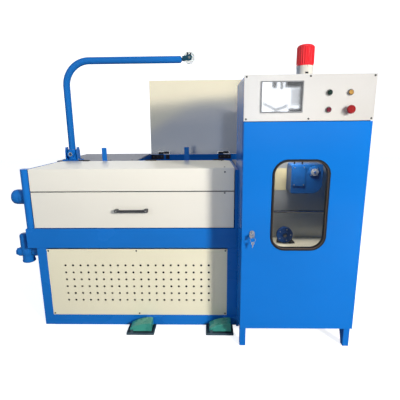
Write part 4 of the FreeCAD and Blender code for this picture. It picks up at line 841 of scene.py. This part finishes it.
# Painted shade: the lining's dark grey stands for stainless in the cabinet's shade.
shaded_lining_steel = surface("shaded_lining_steel", (0.34, 0.35, 0.35), (0.31, 0.32, 0.32), (0.30, 0.42), 0.55,
                       (3.0, 3.0, 0.8), (300.0, 300.0, 6.0), 0.00002)
side_steel = brushed("side_steel", (0.86, 0.83, 0.72), 2, (0.3, 0.4), 300.0)
dress("cabinet_lining", shaded_lining_steel, 0.0006)
tray_enamel = surface("tray_enamel", (0.84, 0.78, 0.60), (0.78, 0.72, 0.54), (0.3, 0.42), 0.1,
                      (2.0,) * 3, (300.0,) * 3, 0.00004)
dress("cabinet_tray", tray_enamel, 0.0008)
lining_thick, lining_front, lining_back, lining_foot, lining_top = 0.002, 0.045, 0.362, 0.552, 1.276
sheets = bmesh.new()
for left in (0.004, 0.634):
    block(sheets, at(left, lining_front, lining_foot),
          at(left + lining_thick, lining_back, lining_top))
piece("side_linings", sheets, "machine", side_steel, 0.0005)
# Painted light: a cream plate on the dark back lining, for a lit patch of the stainless.
plate = bmesh.new()
block(plate, at(0.235, 0.3620, 0.862), at(0.312, 0.3636, 1.000))
lit_patch_paint = surface("lit_patch_paint", (0.50, 0.44, 0.27), (0.36, 0.32, 0.21), (0.3, 0.42), 0.1,
                       (5.0,) * 3, (300.0,) * 3, 0.00004)
piece("painted_lit_patch", plate, "machine", lit_patch_paint, 0.0005)

box_left, box_right, box_low, box_top, box_front, box_back = 0.315, 0.500, 0.862, 1.035, 0.255, 0.364
guide_wheel_x, guide_wheel_z, guide_wheel_radius, guide_wheel_wide = 0.448, 0.990, 0.021, 0.010
casting = bmesh.new()
outline = (arc((box_left + 0.012, box_low + 0.012), 0.012, 180, 270, 6)
           + arc((box_right - 0.060, box_low + 0.060), 0.060, 270, 360, 12)
           + arc((box_right - 0.012, box_top - 0.012), 0.012, 0, 90, 6)
           + arc((box_left + 0.012, box_top - 0.012), 0.012, 90, 180, 6))
extruded(casting, outline, at(0.0, box_back, 0.0), "front", box_back - box_front)
turned(casting, [(0, 0), (0.034, 0), (0.034, 0.003), (0.031, 0.005), (0, 0.005)],
       at(guide_wheel_x, box_front, guide_wheel_z), "front", 40)
turned(casting, [(0, 0), (0.006, 0), (0.006, 0.0155), (0.005, 0.0165), (0, 0.0165)],
       at(guide_wheel_x, box_front - 0.003, guide_wheel_z), "front", 24)
box_blue = enamel("box_blue", (0.008, 0.076, 0.255), 0.8)
piece("guide_box_casting", casting, "machine", box_blue, 0.002, ["guide_box"])
cover = bmesh.new()
cover_low, cover_high = (box_left + 0.008, 0.905), (box_left + 0.083, 1.027)
extruded(cover, arc((cover_low[0] + 0.008, cover_low[1] + 0.008), 0.008, 180, 270, 5)
         + arc((cover_high[0] - 0.008, cover_low[1] + 0.008), 0.008, 270, 360, 5)
         + arc((cover_high[0] - 0.008, cover_high[1] - 0.008), 0.008, 0, 90, 5)
         + arc((cover_low[0] + 0.008, cover_high[1] - 0.008), 0.008, 90, 180, 5),
         at(0.0, box_front, 0.0), "front", 0.005)
piece("guide_box_cover", cover, "machine", box_blue, 0.0015)
screws("guide_box_screws",
       [at(x, box_front - 0.005, z) for x in (cover_low[0] + 0.010, cover_high[0] - 0.010)
        for z in (cover_low[1] + 0.010, cover_high[1] - 0.010)]
       + [at(guide_wheel_x + 0.027 * math.cos(turn), box_front - 0.005,
             guide_wheel_z + 0.027 * math.sin(turn)) for turn in (0.8, 2.4, 3.9, 5.5)],
       0.0035, "machine", zinc)
guide_pins = bmesh.new()
for x in (box_left + 0.020, box_left + 0.066):
    turned(guide_pins, [(0, -0.001), (0.005, -0.001), (0.005, 0.014), (0.008, 0.015),
                        (0.008, 0.018), (0, 0.018)], at(x, box_front + 0.020, box_top), "up", 24)
piece("guide_box_pins", guide_pins, "machine", black_steel)

polished = surface("polished_wheel", (0.52, 0.50, 0.46), (0.38, 0.36, 0.33), (0.10, 0.18), 0.5,
                   (30.0,) * 3, (300.0,) * 3, 0.00002)
little_wheel = bmesh.new()
turned(little_wheel, [(0.0064, 0), (0.012, 0), (0.013, 0.0015), (guide_wheel_radius, 0.0015),
                      (guide_wheel_radius, 0.003), (0.017, guide_wheel_wide / 2),
                      (guide_wheel_radius, 0.007), (guide_wheel_radius, 0.0085), (0.013, 0.0085),
                      (0.012, guide_wheel_wide), (0.0064, guide_wheel_wide)],
       at(guide_wheel_x, box_front - 0.0055, guide_wheel_z), "front", 56, True)
piece("little_guide_wheel", little_wheel, "box_wheel", polished, 0.0,
      ["box_wheel"])

shaft_steel = brushed("shaft_steel", (0.20, 0.20, 0.21), 0, (0.18, 0.3), 400.0)
dress("take_up_shafts", shaft_steel, 0.0005)
spool_x, spool_z, spool_front, spool_wide, spool_radius = 0.292, 0.604, 0.245, 0.022, 0.049
spool_navy = enamel("spool_navy", (0.008, 0.045, 0.170), 0.8, (0.18, 0.3))
flange = bmesh.new()
turned(flange, [(0.0124, 0), (spool_radius, 0), (spool_radius, 0.006), (0.046, 0.008),
                (0.046, 0.014), (spool_radius, 0.016), (spool_radius, 0.020), (0.047, 0.0218),
                (0.030, 0.0190), (0.020, 0.0190), (0.018, spool_wide), (0.0124, spool_wide)],
       at(spool_x, spool_front + spool_wide, spool_z), "front", 72, True)
piece("spool_face", flange, "spool_flange", spool_navy, 0.0, ["spool_flange"])
screws("spool_screws", [at(spool_x + 0.036 * math.cos(turn * math.tau / 5),
                           spool_front + 0.0022,
                           spool_z + 0.036 * math.sin(turn * math.tau / 5)) for turn in range(5)],
       0.0032, "spool_flange", zinc)
stand = bmesh.new()
extruded(stand, [(0.250, 0.548), (0.360, 0.548), (0.352, 0.558), (0.324, 0.596)]
         + arc((spool_x, spool_z), 0.024, 10, 170, 12), at(0.0, 0.294, 0.0), "front", 0.018)
block(stand, at(0.318, 0.252, 0.548), at(0.356, 0.280, 0.556))
piece("spool_stand", stand, "machine", black_steel, 0.001)
screws("spool_stand_bolt", [at(0.338, 0.262, 0.556)], 0.006, "machine", zinc, "up")

# ---- Door ----
# A pan folded from one sheet, with returns all round and a stiffening ring at the window, sprayed
# and baked. Three knuckles welded to its right edge drop over the cabinet's pins.

door_blue = enamel("door_blue", (0.005, 0.162, 0.575), 0.93, (0.16, 0.26))
door_left, door_right, door_low, door_top, door_deep = 0.002, 0.638, 0.127, 1.277, 0.025
door_skin, door_fold = 0.002, 0.020
window_left, window_right, window_low, window_top, window_corner = 0.160, 0.445, 0.605, 1.084, 0.075


def window_ring(grow, steps=14):
    """The outline of the window's opening, grown outwards."""
    radius = window_corner + grow
    points = []
    for turn, (x, z) in enumerate(((window_left, window_low), (window_right, window_low),
                                   (window_right, window_top), (window_left, window_top))):
        side_x = window_corner if x == window_left else -window_corner
        side_z = window_corner if z == window_low else -window_corner
        points += arc((x + side_x, z + side_z), radius, 180 + 90 * turn, 270 + 90 * turn, steps)
    return points


pan = bmesh.new()
block(pan, at(door_left, 0.0, door_low), at(door_right, door_deep, door_top))
hollow = bmesh.new()
block(hollow, at(door_left + door_skin, door_skin, door_low + door_skin),
      at(door_right - door_skin, door_deep - door_skin, door_top - door_skin))
pan = carve(pan, hollow)
mouth = bmesh.new()
block(mouth, at(door_left + door_fold, door_skin + 0.004, door_low + door_fold),
      at(door_right - door_fold, door_deep + 0.004, door_top - door_fold))
pan = carve(pan, mouth)
opening = bmesh.new()
extruded(opening, window_ring(0.0), at(0.0, door_deep + 0.01, 0.0), "front", door_deep + 0.02)
pan = carve(pan, opening)
piece("door_pan", pan, "cabinet_door", door_blue, 0.0012, ["cabinet_door"])


def lofted(shape, profile):
    """Adds a closed section of (grow, depth) points, led round the window."""
    rings = [[shape.verts.new(at(x, depth, z)) for x, z in window_ring(grow)]
             for grow, depth in profile]
    for first, second in zip(rings, rings[1:] + rings[:1]):
        band(shape, first, second)


stiffener = bmesh.new()
lofted(stiffener, [(0.0003, door_skin), (0.028, door_skin), (0.028, door_skin + 0.0015),
                   (0.010, door_skin + 0.0015), (0.010, 0.022), (0.0085, 0.022),
                   (0.0085, door_skin + 0.0015), (0.0003, door_skin + 0.0015)])
piece("window_stiffener", stiffener, "cabinet_door", door_blue)
hinge_x, hinge_y, hinge_radius, hinge_bore, knuckle_tall = 0.6455, 0.0275, 0.0048, 0.0033, 0.032
knuckles = bmesh.new()
for start in (0.223, 0.670, 1.117):
    middle = start + knuckle_tall
    turned(knuckles, [(hinge_bore, 0.0003), (hinge_radius, 0.0003), (hinge_radius, knuckle_tall),
                      (hinge_bore, knuckle_tall)], at(hinge_x, hinge_y, middle), "up", 32, True)
    block(knuckles, at(door_right - 0.001, door_deep - 0.003, middle + 0.0003),
          at(hinge_x - 0.004, door_deep, middle + knuckle_tall))
piece("door_knuckles", knuckles, "cabinet_door", door_blue, 0.0003)

# ---- Window ----
# A pane in a black rubber gasket that grips the edge of the door's opening. A thin grey strip
# pressed into the gasket's face locks it.

rubber = surface("rubber", (0.011, 0.011, 0.012), (0.007, 0.007, 0.008), (0.42, 0.55), 0.0,
                 (12.0,) * 3, (900.0,) * 3, 0.00005)
gasket = bmesh.new()
lofted(gasket, [(-0.007, 0.025), (-0.007, 0.001), (-0.0066, -0.0016), (-0.0055, -0.0030),
                (-0.0035, -0.0040), (-0.0005, -0.0048), (0.0020, -0.0050), (0.0042, -0.0042),
                (0.0056, -0.0026), (0.0060, -0.0010), (0.0060, 0.0), (0.0, 0.0), (0.0, 0.025)])
piece("gasket_ring", gasket, "cabinet_door", rubber, 0.0, ["window_gasket"])
strip_plastic = surface("strip_plastic", (0.10, 0.072, 0.055), (0.07, 0.052, 0.042), (0.3, 0.4), 0.0,
                        (20.0,) * 3, (600.0,) * 3, 0.00002)
strip = bmesh.new()
lofted(strip, [(-0.0068, 0.0005), (-0.0071, -0.0022), (-0.0060, -0.0040), (-0.0044, -0.0046),
               (-0.0036, -0.0040), (-0.0040, -0.0020), (-0.0050, 0.0005)])
piece("locking_strip", strip, "cabinet_door", strip_plastic)
pane = surface("window_pane", (0.030, 0.034, 0.036), (0.022, 0.026, 0.028), (0.02, 0.05), 0.0,
               (1.0,) * 3, (40.0,) * 3, 0.00001, Alpha=0.08, Specular_IOR_Level=0.5)
dress("window_glass", pane)

# ---- Door lock ----
# A chromed cam lock near the door's left edge: its rose and barrel, the key in it, and a wire
# ring with the spare key.

chrome = brushed("chrome", (0.72, 0.73, 0.75), 2, (0.06, 0.14), 200.0, 0.00001)
lock_x, lock_z, rose_half_wide, rose_half_tall, rose_thick = 0.057, 0.692, 0.014, 0.022, 0.005
lock = bmesh.new()
extruded(lock, arc((lock_x, lock_z + rose_half_tall - rose_half_wide), rose_half_wide, 0, 180, 16)
         + arc((lock_x, lock_z - rose_half_tall + rose_half_wide), rose_half_wide, 180, 360, 16),
         at(0.0, 0.0, 0.0), "front", rose_thick)
turned(lock, [(0, 0.004), (0.010, 0.004), (0.010, 0.0155), (0.0085, 0.017), (0, 0.017)],
       at(lock_x, 0.0, lock_z), "front", 32)
block(lock, at(lock_x - 0.0012, -0.030, lock_z - 0.002), at(lock_x + 0.0012, -0.016, lock_z + 0.002))
turned(lock, [(0.0035, 0), (0.012, 0), (0.012, 0.0024), (0.0035, 0.0024)],
       at(lock_x - 0.0012, -0.037, lock_z), "right", 28, True)
piece("lock_and_key", lock, "cabinet_door", chrome, 0.0007, ["door_lock"])
ring_radius_mid, ring_wire, ring_z = 0.0135, 0.0012, 0.672
spare = bmesh.new()
turned(spare, [(ring_radius_mid + ring_wire * math.cos(turn * math.tau / 10),
                ring_wire * math.sin(turn * math.tau / 10)) for turn in range(10)],
       at(lock_x, -0.037, ring_z), "front", 40, True)
turned(spare, [(0.003, 0), (0.0085, 0), (0.0085, 0.0020), (0.003, 0.0020)],
       at(lock_x + 0.0005, -0.036, 0.6535), "front", 28, True)
teeth = [(-0.0027, 0.628), (-0.001, 0.628), (0.0, 0.6295), (0.0015, 0.631), (0.0008, 0.633),
         (0.0022, 0.635), (0.0012, 0.637), (0.0026, 0.639), (0.0026, 0.647), (-0.0027, 0.647)]
extruded(spare, [(lock_x + x, z) for x, z in teeth], at(0.0, -0.036, 0.0), "front", 0.0020)
piece("spare_key", spare, "cabinet_door", chrome)

# ---- Control panel ----
# Brushed sheet screwed over the top of the cabinet at six points. It stands a little above the
# cabinet, and it is left without lettering.

panel_steel = surface("panel_steel", (0.93, 0.91, 0.87), (0.89, 0.87, 0.83), (0.26, 0.38), 0.62,
                      (0.8, 3.0, 3.0), (6.0, 600.0, 600.0), 0.00001)
dress("control_panel", panel_steel, 0.0014)
panel_bottom, panel_top = 1.280, 1.500
screws("panel_screws", [at(x, 0.0, z) for x in (0.012, 0.320, 0.628)
                        for z in (panel_bottom + 0.010, panel_top - 0.010)],
       0.0048, "machine", dark_zinc)

# ---- Touch screen ----
# A moulded grey housing with a bevelled front. Its display still has the glossy film it was
# shipped with, a little wavy.

housing_grey = surface("housing_grey", (0.27, 0.275, 0.28), (0.22, 0.225, 0.23), (0.25, 0.35), 0.0,
                       (6.0,) * 3, (700.0,) * 3, 0.00003)
low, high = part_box("touch_screen")
frame_wide, lip = 0.005, 0.0006
housing = bmesh.new()
block(housing, low, high)
display_hole = bmesh.new()
block(display_hole, (low.x + frame_wide, low.y - 0.001, low.z + frame_wide),
      (high.x - frame_wide, low.y + 0.0015, high.z - frame_wide))
piece("screen_housing", carve(housing, display_hole), "machine", housing_grey, 0.002,
      ["touch_screen"])
# The dark bars and band on the film are painted reflections of cards in the studio.
film = surface("display_film", (0.74, 0.76, 0.78), (0.66, 0.68, 0.70), (0.03, 0.06), 0.95,
               (3.0,) * 3, (9.0, 9.0, 14.0), 0.00006)
display = bmesh.new()
block(display, (low.x + frame_wide + lip, low.y + 0.0006, low.z + frame_wide + lip),
      (high.x - frame_wide - lip, low.y + 0.002, high.z - frame_wide - lip))
piece("screen_display", display, "machine", film, 0.0004)

# ---- Push buttons ----
# Start, reset and stop in polished rings, each with a dished cap, and the red mushroom that
# stops the machine and stays in until it is pulled.

ring_steel = brushed("ring_steel", (0.30, 0.29, 0.28), 1, (0.12, 0.22), 300.0)
button_left, button_right, button_high, button_low = 0.414, 0.515, 1.413, 1.332
rings = bmesh.new()
for x, z in ((button_left, button_high), (button_right, button_high), (button_left, button_low),
             (button_right, button_low)):
    turned(rings, [(0.0116, 0), (0.015, 0), (0.015, 0.004), (0.0142, 0.0075), (0.0130, 0.0098),
                   (0.0122, 0.010), (0.0116, 0.0094)], at(x, 0.0, z), "front", 48, True)
piece("button_rings", rings, "machine", ring_steel, 0.0, ["button_bezels"])
for name, node, colour, slot, x, z in (
        ("start_cap", "start_button", (0.010, 0.030, 0.022), "button_green", button_left, button_high),
        ("reset_cap", "reset_button", (0.46, 0.25, 0.06), "button_amber", button_right, button_high),
        ("stop_cap", "stop_button", (0.15, 0.012, 0.028), "button_red", button_left, button_low)):
    cap = bmesh.new()
    turned(cap, [(0, 0.0056), (0.011, 0.0056), (0.011, 0.0128), (0.0104, 0.0138), (0.0094, 0.014),
                 (0.0075, 0.0132), (0.004, 0.0125), (0, 0.0123)], at(x, 0.0, z), "front", 48)
    shade = tuple(0.8 * part for part in colour)
    piece(name, cap, node, surface(name + "_plastic", colour, shade, (0.12, 0.2), 0.0, (20.0,) * 3,
                                   (500.0,) * 3, 0.00002), 0.0, [node])
stop_red = surface("stop_red", (0.26, 0.003, 0.007), (0.20, 0.002, 0.005), (0.10, 0.2), 0.0,
                   (20.0,) * 3, (400.0,) * 3, 0.00002)
mushroom = bmesh.new()
turned(mushroom, [(0, 0.0056), (0.009, 0.0056), (0.009, 0.0195), (0.0190, 0.0202),
                  (0.0208, 0.0225), (0.0210, 0.0262), (0.0204, 0.0296), (0.0188, 0.0322),
                  (0.0165, 0.0334), (0.0130, 0.0337), (0.0070, 0.0332), (0, 0.0328)],
       at(button_right, 0.0, button_low), "front", 56)
piece("stop_mushroom", mushroom, "emergency_stop", stop_red, 0.0, ["emergency_stop"])

# ---- Signal lamp ----
# A pale moulded foot with a slotted collar and a vent, and a red ribbed cover over a bulb, which
# screws into the collar.

lamp_x, lamp_y, lamp_foot, lens_start = 0.316, 0.100, 1.492, 1.551
foot_plastic = surface("foot_plastic", (0.78, 0.74, 0.62), (0.70, 0.66, 0.56), (0.35, 0.5), 0.0,
                       (10.0,) * 3, (700.0,) * 3, 0.00003)
foot = bmesh.new()
turned(foot, [(0, 0), (0.0418, 0), (0.0418, 0.005), (0.0405, 0.008), (0.0405, 0.044),
              (0.0418, 0.047), (0.0418, 0.0585), (0.037, 0.0585), (0.037, 0.052), (0, 0.052)],
       at(lamp_x, lamp_y, lamp_foot), "up", 64)
notches = bmesh.new()
notch_count = 20
for turn in range(notch_count):
    angle = math.tau * turn / notch_count
    middle = at(lamp_x + 0.041 * math.cos(angle), lamp_y + 0.041 * math.sin(angle), lamp_foot)
    block(notches, middle + Vector((-0.002, -0.002, 0.0525)), middle + Vector((0.002, 0.002, 0.060)))
foot = carve(foot, notches)
vent_half_wide, vent_low, vent_high = 0.008, lamp_foot + 0.019, lamp_foot + 0.027
vent = bmesh.new()
block(vent, at(lamp_x - vent_half_wide, lamp_y - 0.045, vent_low),
      at(lamp_x + vent_half_wide, lamp_y - 0.034, vent_high))
piece("lamp_base", carve(foot, vent), "machine", foot_plastic, 0.0005, ["lamp_foot"])
grille = bmesh.new()
block(grille, at(lamp_x - vent_half_wide, lamp_y - 0.039, vent_low),
      at(lamp_x + vent_half_wide, lamp_y - 0.036, vent_high))
piece("lamp_grille", grille, "machine", rubber)
ribs, rib_depth, lens_steps = 24, 0.0026, 240
# The cover has a faint red glow of its own: painted light that brightens it.
lens_red = surface("lens_red", (0.95, 0.012, 0.022), (0.86, 0.008, 0.016), (0.04, 0.09), 0.0,
                   (14.0,) * 3, (300.0,) * 3, 0.00001, Transmission_Weight=0.20,
                   Specular_IOR_Level=0.7, Coat_Weight=0.8, Emission_Strength=0.08)
lens_red.node_tree.nodes["Principled BSDF"].inputs["Emission Color"].default_value = (
    1.0, 0.02, 0.03, 1.0)
lens = bmesh.new()
lens_rings = []
for radius, height, rib in ((0.0425, 0.0, 0.0), (0.0425, 0.006, 0.0), (0.0425, 0.0065, 1.0),
                            (0.0434, 0.010, 1.0), (0.0434, 0.085, 1.0), (0.0434, 0.087, 0.3),
                            (0.0430, 0.0895, 0.0), (0.0400, 0.0945, 0.0), (0.0330, 0.0985, 0.0),
                            (0.0220, 0.1020, 0.0), (0.0100, 0.1036, 0.0)):
    ring = []
    for step in range(lens_steps):
        turn = math.tau * step / lens_steps
        reach = radius - rib * rib_depth * (0.5 - 0.5 * math.cos(ribs * turn))
        ring.append(lens.verts.new(at(lamp_x + reach * math.cos(turn),
                                      lamp_y + reach * math.sin(turn), lens_start + height)))
    lens_rings.append(ring)
for first, second in zip(lens_rings, lens_rings[1:]):
    band(lens, first, second)
lens.faces.new(lens_rings[0])
lens.faces.new(lens_rings[-1])
piece("lamp_cover", lens, "machine", lens_red, 0.0, ["lamp_lens"])
bulb = bmesh.new()
turned(bulb, [(0, -0.006), (0.030, -0.006), (0.030, 0.010), (0.012, 0.014), (0.012, 0.040),
              (0.020, 0.046), (0.020, 0.070), (0.012, 0.080), (0, 0.082)],
       at(lamp_x, lamp_y, lens_start), "up", 32)
piece("lamp_bulb", bulb, "machine", foot_plastic)

# ---- Foot pedals ----
# Cast trays with a rim, dark green, and a crowned treadle in each that turns on a pin at its left
# end. The treadles are enamelled in a paler green.

tray_green = surface("tray_green", (0.055, 0.095, 0.120), (0.030, 0.058, 0.080), (0.35, 0.55), 0.1,
                     (9.0,) * 3, (240.0,) * 3, 0.0001)
treadle_green = surface("treadle_green", (0.050, 0.330, 0.250), (0.035, 0.250, 0.200),
                        (0.22, 0.36), 0.0, (14.0,) * 3, (170.0,) * 3, 0.00022)
dress("pedal_trays", tray_green, 0.0025)
for side in ("left", "right"):
    dress("pedal_treadle_" + side, treadle_green, 0.004)

bpy.context.view_layer.update()
